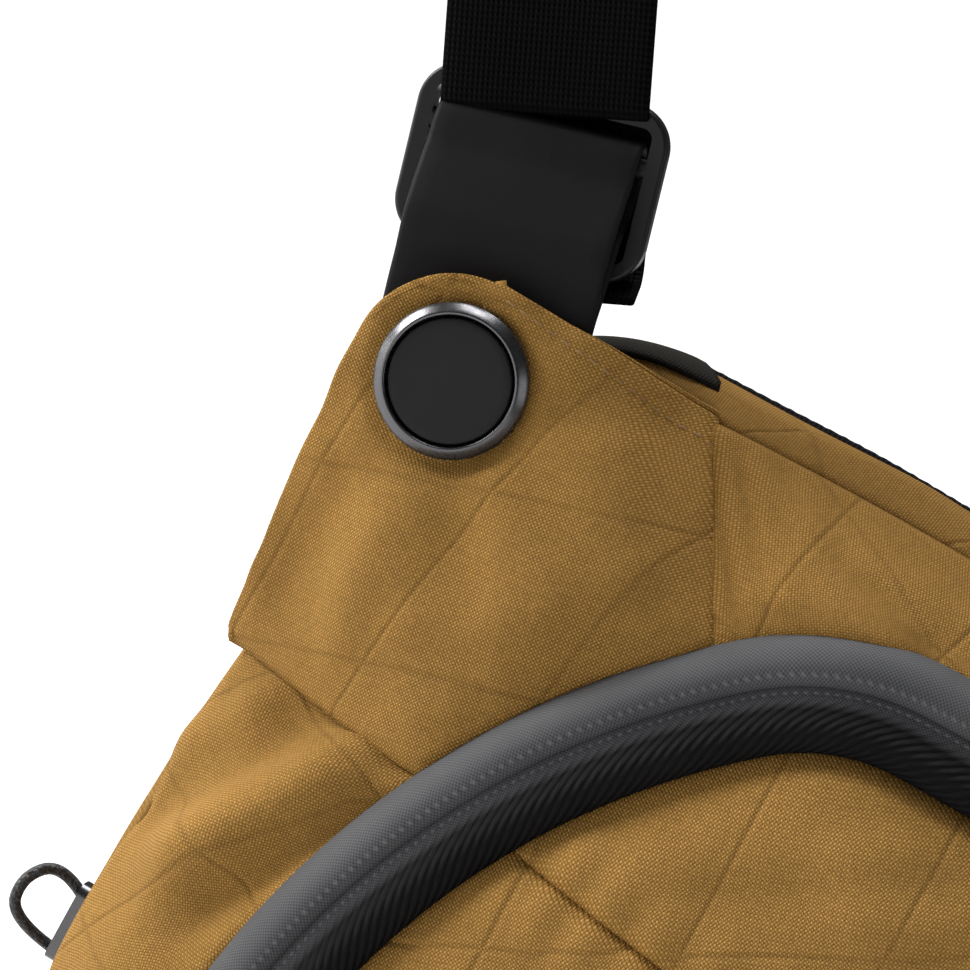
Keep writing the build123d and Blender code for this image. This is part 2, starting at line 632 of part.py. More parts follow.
def pocket_pouch():
    """The flat pouch behind the side zip."""
    side_r = REAR["side_r"]
    bow = side_r - math.sqrt(side_r ** 2 - (POCKET_HIGH_Z - REAR["waist_z"]) ** 2)
    x0 = -BAG_HALF_WIDTH + bow + SHELL_THICK + 0.7
    x1 = x0 + POCKET_DEEP
    y0, y1 = POCKET_Y - POCKET_SLOT / 2, POCKET_Y + POCKET_SLOT / 2
    t = LINING_THICK
    outer = block(x0, x1, y0, y1, POCKET_LOW_Z, POCKET_HIGH_Z)
    return outer - block(x0 - 5, x1 - t, y0 + t, y1 - t, POCKET_LOW_Z + t, POCKET_HIGH_Z - t)


def at_side_slider(shape):
    """Turns a piece made at the waist to the side slider's parked place."""
    turn = math.degrees(math.asin((SIDE_SLIDER_Z - SIDE_C[1]) / REAR["side_r"]))
    return Pos(SIDE_C[0], 0, SIDE_C[1]) * Rot(0, turn, 0) * Pos(-SIDE_C[0], 0, -SIDE_C[1]) * shape


def side_slider():
    x = -BAG_HALF_WIDTH - FIT
    z = SIDE_C[1]
    half = SIDE_SLIDER_LENGTH / 2
    body = block(x - SIDE_SLIDER_THICK, x, POCKET_Y - SIDE_SLIDER_WIDTH / 2,
                 POCKET_Y + SIDE_SLIDER_WIDTH / 2, z - half, z + half)
    body = fillet(body.edges().filter_by(Axis.X), 2.4)
    body += block(x, x + 1.6, POCKET_Y - NECK_HALF, POCKET_Y + NECK_HALF, z - half + 3, z + half - 3)
    return at_side_slider(body)


# the pull cord: out of the side slider's face, round, and back into it
CORD_POINTS = ((-BAG_HALF_WIDTH - 2.2, 21.0, 38.2), (-BAG_HALF_WIDTH - 7.9, 18.0, 41.6),
               (-BAG_HALF_WIDTH - 12.2, 13.8, 36.2), (-BAG_HALF_WIDTH - 10.2, 14.6, 28.4),
               (-BAG_HALF_WIDTH - 1.7, 20.6, 26.6))


def cord_radii(points):
    """The largest tangent arc that each pair of runs leaves room for."""
    radii = []
    for p, q, r in zip(points, points[1:], points[2:]):
        a, b = Vector(*q) - Vector(*p), Vector(*r) - Vector(*q)
        half_turn = math.radians(a.get_angle(b)) / 2
        radii.append(0.45 * min(a.length, b.length) / math.tan(half_turn))
    return radii


def pull_cord():
    radii = cord_radii(CORD_POINTS)
    route = FilletPolyline(*CORD_POINTS, radius=radii)
    start = Plane(origin=route @ 0, z_dir=route % 0)
    tube = sweep(start * Circle(CORD_D / 2), path=route)
    print("pull cord: length", round(route.length, 2), "radii", [round(r, 2) for r in radii],
          "volume ratio", round(tube.volume / (math.pi * CORD_D ** 2 / 4 * route.length), 4))
    return tube - side_slider()


# ---------------------------------------------------------------- inside
def inner_body(grow, y_rear):
    return slab(REAR, GUSSET_FRONT_Y, y_rear, grow) + slope_solid(grow)


def lining():
    rear = BACK_FACE_Y - BACK_THICK - 1.5
    skin = inner_body(-SHELL_THICK - 0.8, rear)
    skin -= inner_body(-SHELL_THICK - 0.8 - LINING_THICK, rear - LINING_THICK)
    return skin - pocket_cut()


def divider():
    """The padded sheet that makes the sleeve along the back."""
    y1 = GUSSET_FRONT_Y - 1.0
    return slope_solid(-SHELL_THICK - 2.0) & block(-FAR, FAR, y1 - DIVIDER_THICK, y1, 0, DIVIDER_TOP_Z)


def organiser_pocket():
    """An open-topped pouch in front of the divider."""
    half, wall, y1 = ARCH_HALF_WIDTH - ORGANISER_INSET, LINING_THICK, GUSSET_FRONT_Y - 1.0 - DIVIDER_THICK
    y0 = y1 - ORGANISER_DEPTH
    pouch = block(-half, half, y0, y1, ORGANISER_LOW_Z, ORGANISER_TOP_Z)
    return pouch - block(wall - half, half - wall, y0 + wall, y1 - wall, ORGANISER_LOW_Z + wall,
                         ORGANISER_TOP_Z + wall)


# ---------------------------------------------------------------- write every piece
def shell_pieces():
    skin = slope_solid(0.0) - slope_solid(-SHELL_THICK)
    pieces = {name: skin & prism(points) for name, points in REGIONS.items()}
    pieces["right_corner_panel"] = flipped(pieces["left_corner_panel"])
    pieces["right_side_panel"] = flipped(pieces["left_side_panel"])
    return pieces


def flap_pieces():
    panel = dome_skin(0.0, FRONT_THICK, 0.0)
    upper = panel & block(-FAR, FAR, -90, 60, SEAM_Z, FAR)
    lower = panel & block(-FAR, FAR, -90, 60, 0, SEAM_Z)
    return {"front_panel_upper": upper, "front_panel_lower": lower,
            "flap_lining": dome_skin(FRONT_THICK + 0.4, LINING_THICK, -0.6),
            "main_zip_roll": roll(), "main_zip_coil_inner": coil_inner()}


def paired_pieces():
    front = wing_front()
    made = {"wing_front": front, "wing_back": wing_back() - front, "rivet_ring": rivet_ring(),
            "cap_inset": cap_inset(), "rivet_post": rivet_post(), "rivet_washer": rivet_washer(),
            "strap_tab": tab(), "strap_buckle": buckle(), "strap_end": strap_end(),
            "strap_webbing": webbing_half(),
            "zip_slider": slider(), "zip_pull": pull()}
    both = {}
    for name, shape in made.items():
        both["left_" + name] = shape
        both["right_" + name] = flipped(shape)
    return both


def main():
    pieces = {"back_panel": back_panel(), "back_stiffener": back_stiffener(),
              "edge_binding": edge_binding(), "rear_gusset": rear_gusset(),
              "front_base_panel": front_base_panel(), "main_zip_tape_outer": tape_outer(),
              "main_zip_coil_outer": coil_outer(), "zip_end_stops": zip_end_stops(),
              "lining": lining(), "divider": divider(), "organiser_pocket": organiser_pocket(),
              "side_pocket_tapes": pocket_tapes(),
              "side_pocket_coil": pocket_coil(), "side_pocket_pouch": pocket_pouch(),
              "side_pocket_slider": side_slider(), "side_pull_cord": pull_cord()}
    pieces |= shell_pieces() | flap_pieces() | paired_pieces()
    for name, shape in pieces.items():
        save(name, shape)
    print(len(pieces), "pieces")


main()
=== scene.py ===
import math
import bmesh
import bpy
import numpy as np
from mathutils import Matrix, Vector, noise


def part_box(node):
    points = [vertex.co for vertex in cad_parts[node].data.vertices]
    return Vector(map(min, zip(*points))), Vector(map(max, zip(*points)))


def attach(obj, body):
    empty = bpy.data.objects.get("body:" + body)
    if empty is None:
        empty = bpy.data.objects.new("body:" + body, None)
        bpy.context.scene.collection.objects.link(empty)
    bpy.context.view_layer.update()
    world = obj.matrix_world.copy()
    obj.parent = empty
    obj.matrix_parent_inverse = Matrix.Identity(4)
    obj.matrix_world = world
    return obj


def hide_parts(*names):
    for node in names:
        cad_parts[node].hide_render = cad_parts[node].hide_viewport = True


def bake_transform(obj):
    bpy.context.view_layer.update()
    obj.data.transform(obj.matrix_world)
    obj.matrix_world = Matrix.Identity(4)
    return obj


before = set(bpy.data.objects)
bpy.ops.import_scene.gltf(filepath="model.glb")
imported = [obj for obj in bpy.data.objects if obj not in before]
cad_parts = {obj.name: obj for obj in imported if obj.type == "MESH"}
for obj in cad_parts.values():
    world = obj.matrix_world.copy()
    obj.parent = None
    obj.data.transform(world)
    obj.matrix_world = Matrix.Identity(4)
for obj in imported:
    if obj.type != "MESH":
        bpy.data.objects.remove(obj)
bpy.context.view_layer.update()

MM = 0.001


def new_object(name, data):
    obj = bpy.data.objects.new(name, data)
    bpy.context.scene.collection.objects.link(obj)
    return obj


# ================================================================ camera and light
AZIMUTH, ELEVATION, ROLL = math.radians(7.0), math.radians(8.0), math.radians(33.5)
AIM = Vector((-0.1331, -0.0206, 0.1509))
DISTANCE = 0.9
LENS = 190.4
SUN_FROM = (-0.34, 0.08, 0.94)
SUN_STRENGTH, SUN_WIDTH = 4.1, math.radians(30.0)
SKY_STRENGTH = 0.07
LEFT_POWER, RIGHT_POWER = 17.0, 3.0


def make_camera():
    back = Vector((math.sin(AZIMUTH) * math.cos(ELEVATION), -math.cos(AZIMUTH) * math.cos(ELEVATION),
                   math.sin(ELEVATION)))
    level = Vector((math.cos(AZIMUTH), math.sin(AZIMUTH), 0.0))
    rise = back.cross(level)
    right = math.cos(ROLL) * level + math.sin(ROLL) * rise
    up = -math.sin(ROLL) * level + math.cos(ROLL) * rise
    data = bpy.data.cameras.new("camera")
    data.lens, data.sensor_width = LENS, 36.0
    data.clip_start, data.clip_end = 0.05, 50.0
    camera = new_object("camera", data)
    turn = Matrix((right, up, back)).transposed().to_4x4()
    camera.matrix_world = Matrix.Translation(AIM + DISTANCE * back) @ turn
    bpy.context.scene.camera = camera


def area_light(name, where, at, size, power, tint=(1.0, 1.0, 1.0)):
    data = bpy.data.lights.new(name, "AREA")
    data.shape, data.size, data.energy, data.color = "DISK", size, power, tint
    lamp = new_object(name, data)
    lamp.location = where
    lamp.rotation_euler = (Vector(at) - Vector(where)).to_track_quat("-Z", "Y").to_euler()


def make_light():
    world = bpy.data.worlds.new("studio")
    world.use_nodes = True
    sky = world.node_tree.nodes["Background"].inputs
    sky["Color"].default_value = (1.0, 1.0, 1.0, 1.0)
    sky["Strength"].default_value = SKY_STRENGTH
    bpy.context.scene.world = world
    sun = bpy.data.lights.new("overhead", "SUN")
    sun.energy, sun.angle = SUN_STRENGTH, SUN_WIDTH
    lamp = new_object("overhead", sun)
    lamp.rotation_euler = Vector(SUN_FROM).to_track_quat("Z", "Y").to_euler()
    area_light("side_box", (-1.3, -0.05, 0.45), (-0.1, 0.0, 0.08), 0.5, LEFT_POWER, (1.0, 0.99, 0.97))
    area_light("right_fill", (1.3, -0.3, 0.8), (0.1, 0.0, 0.1), 0.8, RIGHT_POWER)
    bpy.context.scene.view_settings.view_transform = "Standard"


# ================================================================ node materials
class Shader:
    """A Principled material with short calls for its nodes."""

    def __init__(self, name, roughness, metallic=0.0, sheen=0.0, specular=0.5):
        self.material = bpy.data.materials.new(name)
        self.material.use_nodes = True
        self.tree = self.material.node_tree
        self.out = self.tree.nodes["Principled BSDF"]
        settings = {"Roughness": roughness, "Metallic": metallic, "Sheen Weight": sheen,
                    "Sheen Roughness": 0.45, "Specular IOR Level": specular}
        for key, value in settings.items():
            self.out.inputs[key].default_value = value

    def wire(self, socket, value):
        if isinstance(value, bpy.types.NodeSocket):
            self.tree.links.new(value, socket)
        elif value is not None:
            socket.default_value = value

    def math(self, op, a, b=None, c=None, clamp=False):
        node = self.tree.nodes.new("ShaderNodeMath")
        node.operation, node.use_clamp = op, clamp
        for socket, value in zip(node.inputs, (a, b, c)):
            self.wire(socket, value)
        return node.outputs[0]

    def unit(self, value):
        """Turns -1 to 1 into 0 to 1."""
        return self.math("MULTIPLY_ADD", value, 0.5, 0.5)

    def wave(self, value, period):
        """A sine wave of this period, between 0 and 1."""
        return self.unit(self.math("SINE", self.math("MULTIPLY", value, 2 * math.pi / period)))

    def fall(self, value, width):
        """1 where value is 0, down to 0 where it reaches width."""
        return self.math("SUBTRACT", 1.0, self.math("DIVIDE", value, width), clamp=True)

    def cloth_uv(self):
        """Millimetres along and across the piece, laid down when its mesh was made."""
        node = self.tree.nodes.new("ShaderNodeAttribute")
        node.attribute_name = "cloth"
        split = self.tree.nodes.new("ShaderNodeSeparateXYZ")
        self.tree.links.new(node.outputs["Vector"], split.inputs[0])
        return split.outputs[0], split.outputs[1]

    def noise(self, scale, detail=3.0, vector=None, roughness=0.55):
        node = self.tree.nodes.new("ShaderNodeTexNoise")
        if vector is None:
            vector = self.tree.nodes.new("ShaderNodeTexCoord").outputs["Object"]
        self.tree.links.new(vector, node.inputs["Vector"])
        node.inputs["Scale"].default_value = scale
        node.inputs["Detail"].default_value = detail
        node.inputs["Roughness"].default_value = roughness
        return node.outputs[0]

    def ramp(self, value, *stops):
        node = self.tree.nodes.new("ShaderNodeValToRGB")
        element = node.color_ramp.elements
        while len(element) < len(stops):
            element.new(0.5)
        for e, (place, colour) in zip(element, stops):
            e.position, e.color = place, (*colour, 1.0)
        self.wire(node.inputs[0], value)
        return node.outputs[0]

    def mix(self, factor, a, b, blend="MIX"):
        node = self.tree.nodes.new("ShaderNodeMix")
        node.data_type, node.blend_type = "RGBA", blend
        self.wire(node.inputs[0], factor)
        for socket, value in ((node.inputs[6], a), (node.inputs[7], b)):
            self.wire(socket, (*value, 1.0) if isinstance(value, tuple) else value)
        return node.outputs[2]

    def finish(self, colour, height=None, distance=0.0002, roughness=None, strength=1.0):
        self.wire(self.out.inputs["Base Color"], (*colour, 1.0) if isinstance(colour, tuple) else colour)
        if roughness is not None:
            self.wire(self.out.inputs["Roughness"], roughness)
        if height is not None:
            node = self.tree.nodes.new("ShaderNodeBump")
            node.inputs["Strength"].default_value = strength
            node.inputs["Distance"].default_value = distance
            self.tree.links.new(height, node.inputs["Height"])
            self.tree.links.new(node.outputs[0], self.out.inputs["Normal"])
        return self.material


def shade(colour, k):
    return tuple(k * c for c in colour)


def plain_weave(s, u, v, pitch):
    """Signed height of a plain weave: over-crossings of one set of yarns above 0, the other's below."""
    a = s.math("SINE", s.math("MULTIPLY", u, math.pi / pitch))
    b = s.math("SINE", s.math("MULTIPLY", v, math.pi / pitch))
    return s.math("MULTIPLY", a, b)


def diagonal_lines(s, u, v, slope, spacing, width):
    """Thin straight lines across the cloth; 1 on a line, 0 off it."""
    across = s.math("ADD", s.math("MULTIPLY", u, math.cos(slope) / spacing),
                    s.math("MULTIPLY", v, math.sin(slope) / spacing))
    away = s.math("ABSOLUTE", s.math("SUBTRACT", s.math("FRACT", across), 0.5))
    return s.fall(away, width / spacing)


def tan_weave():
    s = Shader("tan_weave", 0.74, specular=0.08)
    u, v = s.cloth_uv()
    cross = plain_weave(s, u, v, 0.53)
    yarn = s.ramp(s.unit(cross), (0.0, (0.345, 0.186, 0.046)), (0.30, (0.31, 0.164, 0.038)),
                  (0.5, (0.185, 0.092, 0.018)), (0.68, (0.34, 0.184, 0.046)),
                  (1.0, (0.48, 0.284, 0.088)))
    tone = s.ramp(s.noise(14.0, 2.0), (0.3, (0.86, 0.85, 0.83)), (0.7, (1.05, 1.05, 1.06)))
    colour = s.mix(1.0, yarn, tone, "MULTIPLY")
    slub = s.ramp(s.noise(900.0, 1.0), (0.3, (0.82, 0.82, 0.82)), (0.7, (1.1, 1.1, 1.1)))
    colour = s.mix(0.6, colour, slub, "MULTIPLY")
    lines = s.math("MAXIMUM", diagonal_lines(s, u, v, 0.45, 31.0, 0.9),
                   diagonal_lines(s, u, v, -0.62, 34.0, 0.9))
    colour = s.mix(s.math("MULTIPLY", lines, 0.20), colour, (0.13, 0.064, 0.015))
    height = s.math("POWER", s.math("ABSOLUTE", cross), 0.6)
    height = s.math("SUBTRACT", height, s.math("MULTIPLY", lines, 2.6))
    return s.finish(colour, height, 0.00014)


def black_rib(name, pitch, colour, across=True):
    """Woven narrow fabric with ribs."""
    s = Shader(name, 0.6, specular=0.03)
    u, v = s.cloth_uv()
    along, other = (v, u) if across else (u, v)
    rib = s.wave(along, pitch)
    yarn = s.wave(other, pitch * 0.8)
    level = s.math("MULTIPLY_ADD", yarn, 0.45, s.math("MULTIPLY", rib, 0.55))
    tone = s.ramp(level, (0.0, shade(colour, 0.35)), (0.6, colour), (1.0, shade(colour, 2.1)))
    worn = s.ramp(s.noise(30.0), (0.35, (0.8, 0.8, 0.8)), (0.75, (1.2, 1.2, 1.25)))
    return s.finish(s.mix(1.0, tone, worn, "MULTIPLY"), level, 0.00025)


def zip_cloth(name, centre, rolled):
    """Fine charcoal tape with stitch bumps. v is the distance from the zip's closed edge."""
    s = Shader(name, 0.60, specular=0.03 if rolled else 0.16)
    u, v = s.cloth_uv()
    fine = s.unit(plain_weave(s, u, v, 0.36))
    rows = None
    for offset in (-1.15, 1.15):
        row = s.fall(s.math("ABSOLUTE", s.math("SUBTRACT", v, centre + offset)), 0.48)
        rows = row if rows is None else s.math("MAXIMUM", rows, row)
    lean = s.math("MULTIPLY_ADD", s.math("ABSOLUTE", s.math("SUBTRACT", v, centre)), 0.45, u)
    bumps = s.math("MULTIPLY", s.math("POWER", s.wave(lean, 1.9), 1.5), rows)
    height = s.math("MULTIPLY_ADD", fine, 0.16, bumps)
    base = s.ramp(fine, (0.0, (0.032, 0.0325, 0.035)), (1.0, (0.098, 0.099, 0.104)))
    colour = s.mix(s.math("MULTIPLY", bumps, 0.55), base, (0.19, 0.192, 0.20))
    # painted shade: the tape goes near-black within 0.75 mm of the closed edge, where it dips into the gap
    # between the two tapes
    colour = s.mix(s.math("MULTIPLY", s.fall(v, 0.75), 0.85), colour, (0.006, 0.006, 0.007))
    if rolled:
        slant = s.math("MULTIPLY_ADD", v, 1.35, u)
        wide = s.math("MULTIPLY", s.math("SUBTRACT", v, 3.2), 0.34, clamp=True)
        ribs = s.math("MULTIPLY", s.wave(slant, 2.6), wide)
        height = s.math("MULTIPLY_ADD", ribs, 0.9, height)
        colour = s.mix(s.math("MULTIPLY", wide, 0.94, clamp=True), colour, (0.0030, 0.0028, 0.0032))
        colour = s.mix(s.math("MULTIPLY", ribs, 0.30), colour, (0.018, 0.018, 0.020))
    cloud = s.ramp(s.noise(40.0), (0.3, (0.88, 0.88, 0.88)), (0.7, (1.1, 1.1, 1.1)))
    return s.finish(s.mix(1.0, colour, cloud, "MULTIPLY"), height, 0.00028)


def grainy(name, colour, rough, scale, depth, metallic=0.0, specular=0.5, spread=0.25):
    """Moulded, painted or coated stuff with a fine grain and slight wear."""
    s = Shader(name, rough, metallic, specular=specular)
    fine = s.noise(scale, 4.0)
    broad = s.noise(scale * 0.02 + 8.0, 3.0)
    tone = s.ramp(broad, (0.3, shade(colour, 1 - spread)), (0.7, shade(colour, 1 + spread)))
    roughness = s.math("MULTIPLY_ADD", fine, 0.16, rough - 0.08)
    return s.finish(tone, fine, depth, roughness)


def mesh_cloth(name, colour, cell):
    """Spacer mesh: staggered open cells."""
    s = Shader(name, 0.7, sheen=0.15, specular=0.3)
    u, v = s.cloth_uv()
    cross = plain_weave(s, u, v, cell)
    holes = s.math("POWER", s.math("ABSOLUTE", cross), 0.8)
    tone = s.ramp(holes, (0.0, shade(colour, 2.2)), (0.45, colour), (1.0, shade(colour, 0.15)))
    return s.finish(tone, s.math("SUBTRACT", 1.0, holes), 0.0005)


def smooth_cloth(name, colour):
    s = Shader(name, 0.6, sheen=0.02, specular=0.10)
    u, v = s.cloth_uv()
    fine = s.unit(plain_weave(s, u, v, 0.34))
    tone = s.ramp(fine, (0.0, shade(colour, 0.6)), (1.0, shade(colour, 1.25)))
    cloud = s.ramp(s.noise(22.0), (0.3, (0.85, 0.85, 0.85)), (0.7, (1.1, 1.1, 1.1)))
    return s.finish(s.mix(1.0, tone, cloud, "MULTIPLY"), fine, 0.00012)


def braid(name, colour):
    s = Shader(name, 0.55, sheen=0.2)
    wave = s.tree.nodes.new("ShaderNodeTexVoronoi")
    wave.inputs["Scale"].default_value = 1400.0
    coord = s.tree.nodes.new("ShaderNodeTexCoord")
    s.tree.links.new(coord.outputs["Object"], wave.inputs["Vector"])
    tone = s.ramp(wave.outputs["Distance"], (0.0, shade(colour, 2.0)), (0.8, shade(colour, 0.3)))
    return s.finish(tone, s.math("SUBTRACT", 1.0, wave.outputs["Distance"]), 0.0003)


TAN = tan_weave()
TAPE = zip_cloth("zip_tape_weave", 2.1, False)
ROLLED = zip_cloth("zip_roll_weave", 1.9, True)
WEBBING = black_rib("webbing_rib", 1.15, (0.0021, 0.0021, 0.0026))
BINDING = black_rib("binding_rib", 1.0, (0.0048, 0.0048, 0.0056), across=False)
BACK_MESH = mesh_cloth("back_mesh_cloth", (0.022, 0.022, 0.025), 1.6)
LINING = smooth_cloth("lining_cloth", (0.055, 0.058, 0.064))
# near-black cloth for the pocket's inside: dark lining, with the pocket's shadow painted into its colour
LINING_AND_PAINTED_SHADE = smooth_cloth("pocket_lining_painted_shade", (0.010, 0.008, 0.005))
TAB_COAT = grainy("tab_coating", (0.0115, 0.0112, 0.0122), 0.56, 1500.0, 0.00006, specular=0.06, spread=0.15)
GUNMETAL = grainy("gunmetal", (0.095, 0.094, 0.099), 0.28, 900.0, 0.00001, metallic=0.92, spread=0.12)
INSET = grainy("inset_matte", (0.0170, 0.0170, 0.0182), 0.62, 2600.0, 0.00001, specular=0.14, spread=0.05)
SATIN_BLACK = grainy("buckle_satin", (0.0085, 0.0085, 0.0095), 0.38, 1200.0, 0.00002, specular=0.25,
                     spread=0.2)
ZIP_PLASTIC = grainy("zip_coil_plastic", (0.012, 0.012, 0.014), 0.34, 900.0, 0.00002, spread=0.3)
BOARD = grainy("board_plastic", (0.22, 0.22, 0.22), 0.6, 500.0, 0.00005)
CORD_BRAID = braid("cord_braid", (0.012, 0.012, 0.015))
THREAD_TAN = grainy("thread_tan", (0.25, 0.14, 0.042), 0.6, 3000.0, 0.00003)
FLOOR = grainy("floor_paper", (0.93, 0.93, 0.93), 0.9, 60.0, 0.00002, spread=0.01)


# ================================================================ mesh helpers
def add_mesh(name, points, faces, material, cloth=None, smooth=True):
    """A new object from points in millimetres."""
    data = bpy.data.meshes.new(name)
    data.from_pydata((np.asarray(points, float) * MM).tolist(), [], [tuple(int(i) for i in f) for f in faces])
    if cloth is not None:
        laid = np.zeros((len(points), 3), np.float32)
        laid[:, :2] = cloth
        data.attributes.new("cloth", "FLOAT_VECTOR", "POINT").data.foreach_set("vector", laid.ravel())
    data.polygons.foreach_set("use_smooth", [smooth] * len(data.polygons))
    data.materials.append(material)
    data.update()
    return new_object(name, data)


def grid_faces(rows, cols, close_rows=False, close_cols=False, skip=None):
    faces = []
    for i in range(rows if close_rows else rows - 1):
        for j in range(cols if close_cols else cols - 1):
            if skip is not None and skip(i, j):
                continue
            i2, j2 = (i + 1) % rows, (j + 1) % cols
            faces.append((i * cols + j, i * cols + j2, i2 * cols + j2, i2 * cols + j))
    return faces


HEXAGON = [(math.cos(a), math.sin(a)) for a in np.linspace(0, 2 * math.pi, 7)[:-1]]


def bar_faces(first, sections):
    """The skin and two caps of a small bar made of six-sided sections."""
    faces = []
    for i in range(sections - 1):
        for j in range(6):
            low, j2 = first + i * 6, (j + 1) % 6
            faces.append((low + j, low + j2, low + 6 + j2, low + 6 + j))
    faces.append(tuple(first + j for j in reversed(range(6))))
    faces.append(tuple(first + (sections - 1) * 6 + j for j in range(6)))
    return faces


def run_length(points):
    """Distance along a line of points, from its first."""
    return np.concatenate([[0], np.cumsum(np.linalg.norm(np.diff(points, axis=0), axis=1))])


def arc_lengths(P):
    """Millimetres along the columns and down the rows of a grid of points."""
    du = np.linalg.norm(np.diff(P, axis=1), axis=2)
    dv = np.linalg.norm(np.diff(P, axis=0), axis=2)
    u = np.concatenate([np.zeros((P.shape[0], 1)), np.cumsum(du, axis=1)], axis=1)
    v = np.concatenate([np.zeros((1, P.shape[1])), np.cumsum(dv, axis=0)], axis=0)
    return u - u[:, -1:] / 2, v


def grid_normals(P, side):
    a = np.gradient(P, axis=1)
    b = np.gradient(P, axis=0)
    n = np.cross(a, b) * side
    return n / np.maximum(np.linalg.norm(n, axis=2, keepdims=True), 1e-9)


def field(P, scale, seed, octaves=2):
    """Smooth random field over points, about -1 to 1."""
    flat = P.reshape(-1, 3)
    out = np.array([noise.fractal(Vector(p) * scale + Vector((seed, 3.1 * seed, 7.7)), 0.8, 2.0, octaves)
                    for p in flat])
    return out.reshape(P.shape[:-1])


def bell(x, width):
    return np.exp(-(x / width) ** 2)


def tuck(P, side, seams="lrbt", depth=1.3, width=1.6, puff=1.2, reach=14.0):
    """Rolls a panel down into the seams round it and lets it stand full between them."""
    n = grid_normals(P, side)
    u, v = arc_lengths(P)
    left, right = u - u[:, :1], u[:, -1:] - u
    low, high = v, v[-1:, :] - v
    near = np.full(P.shape[:2], 1e6)
    for key, d in zip("lrbt", (left, right, low, high)):
        if key in seams:
            near = np.minimum(near, d)
    offset = -depth * bell(near, width) + puff * (1 - bell(near, reach))
    return P + n * offset[..., None], near


def panel(name, P, material, side=1.0, thick=1.2, turn=0.0, cloth=None, skip=None):
    rows, cols = P.shape[:2]
    if cloth is None:
        u, v = arc_lengths(P)
        c, s = math.cos(turn), math.sin(turn)
        cloth = np.stack([u * c - v * s, u * s + v * c], axis=2)
    faces = grid_faces(rows, cols, skip=skip)
    if side > 0:
        faces = [f[::-1] for f in faces]
    obj = add_mesh(name, P.reshape(-1, 3), faces, material, cloth.reshape(-1, 2))
    if thick:
        shell = obj.modifiers.new("thickness", "SOLIDIFY")
        shell.thickness, shell.offset = thick * MM, -1.0
    return obj


def mirrored(obj, name):
    """The right-hand twin of a left-hand piece, as its own mesh."""
    data = obj.data.copy()
    data.name = name
    data.transform(Matrix.Scale(-1, 4, (1, 0, 0)))
    data.flip_normals()
    twin = new_object(name, data)
    for m in obj.modifiers:
        new = twin.modifiers.new(m.name, m.type)
        if m.type == "SOLIDIFY":
            new.thickness, new.offset = m.thickness, m.offset
    return twin


def place(obj, body, slot, *nodes):
    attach(obj, body)
    if nodes:
        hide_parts(*nodes)
    return obj


def place_both(obj, piece, body, slot, *nodes):
    """Places a left-hand piece and its right-hand twin; body "bag" holds both, any other is one a side."""
    for side, held in (("left", obj), ("right", mirrored(obj, "right_" + piece))):
        place(held, body if body == "bag" else side + "_" + body, slot, *(side + "_" + n for n in nodes))


# ================================================================ the bag's outlines, in millimetres
def mm_box(node):
    low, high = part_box(node)
    return np.array(low) / MM, np.array(high) / MM


GUSSET_LOW, GUSSET_HIGH = mm_box("rear_gusset")
TAPE_HIGH = mm_box("main_zip_tape_outer")[1]
ROLL_HIGH = mm_box("main_zip_roll")[1]
RING_LOW, RING_HIGH = mm_box("left_rivet_ring")
BACK_HIGH = mm_box("back_panel")[1]
CAD_TAPE_WIDE = 9.0
TAPE_WIDE = 7.2             # what shows of the tape between the zip's closed edge and the panels
REAR = dict(half=GUSSET_HIGH[0], crown=GUSSET_HIGH[2], base=GUSSET_LOW[2], top_r=900.0, corner_r=42.0,
            side_r=600.0, waist_z=80.0, foot_r=34.0)
ARCH = dict(half=118.5, crown=TAPE_HIGH[2] - CAD_TAPE_WIDE, base=CAD_TAPE_WIDE, top_r=450.0, corner_r=46.0,
            side_r=155.0, waist_z=40.0, foot_r=24.0)
GUSSET_FRONT_Y, GUSSET_REAR_Y = GUSSET_LOW[1], GUSSET_HIGH[1]
SLOPE_FRONT_Y = TAPE_HIGH[1]
BACK_FACE_Y = BACK_HIGH[1]
ZIP_SEAM_Y = SLOPE_FRONT_Y - 4.6
HINGE_Z = 38.0
SEAM_Z = 101.0
SEAM_LOW, SEAM_HIGH = (-84.0, 151.0), (-107.0, 181.5)
DISC_X, DISC_Z = (RING_LOW[0] + RING_HIGH[0]) / 2, (RING_LOW[2] + RING_HIGH[2]) / 2
DISC_R = (RING_HIGH[0] - RING_LOW[0]) / 2
WING_Y = RING_HIGH[1]
POCKET_LOW_Z, POCKET_HIGH_Z = 24.0, 146.0
POCKET_Y = (16.5, 25.5)
MIDDLE_Z = 92.0             # the middle that the back's and the lining's rings shrink to
COIL_Y, COIL_PITCH = -22.3, 1.5


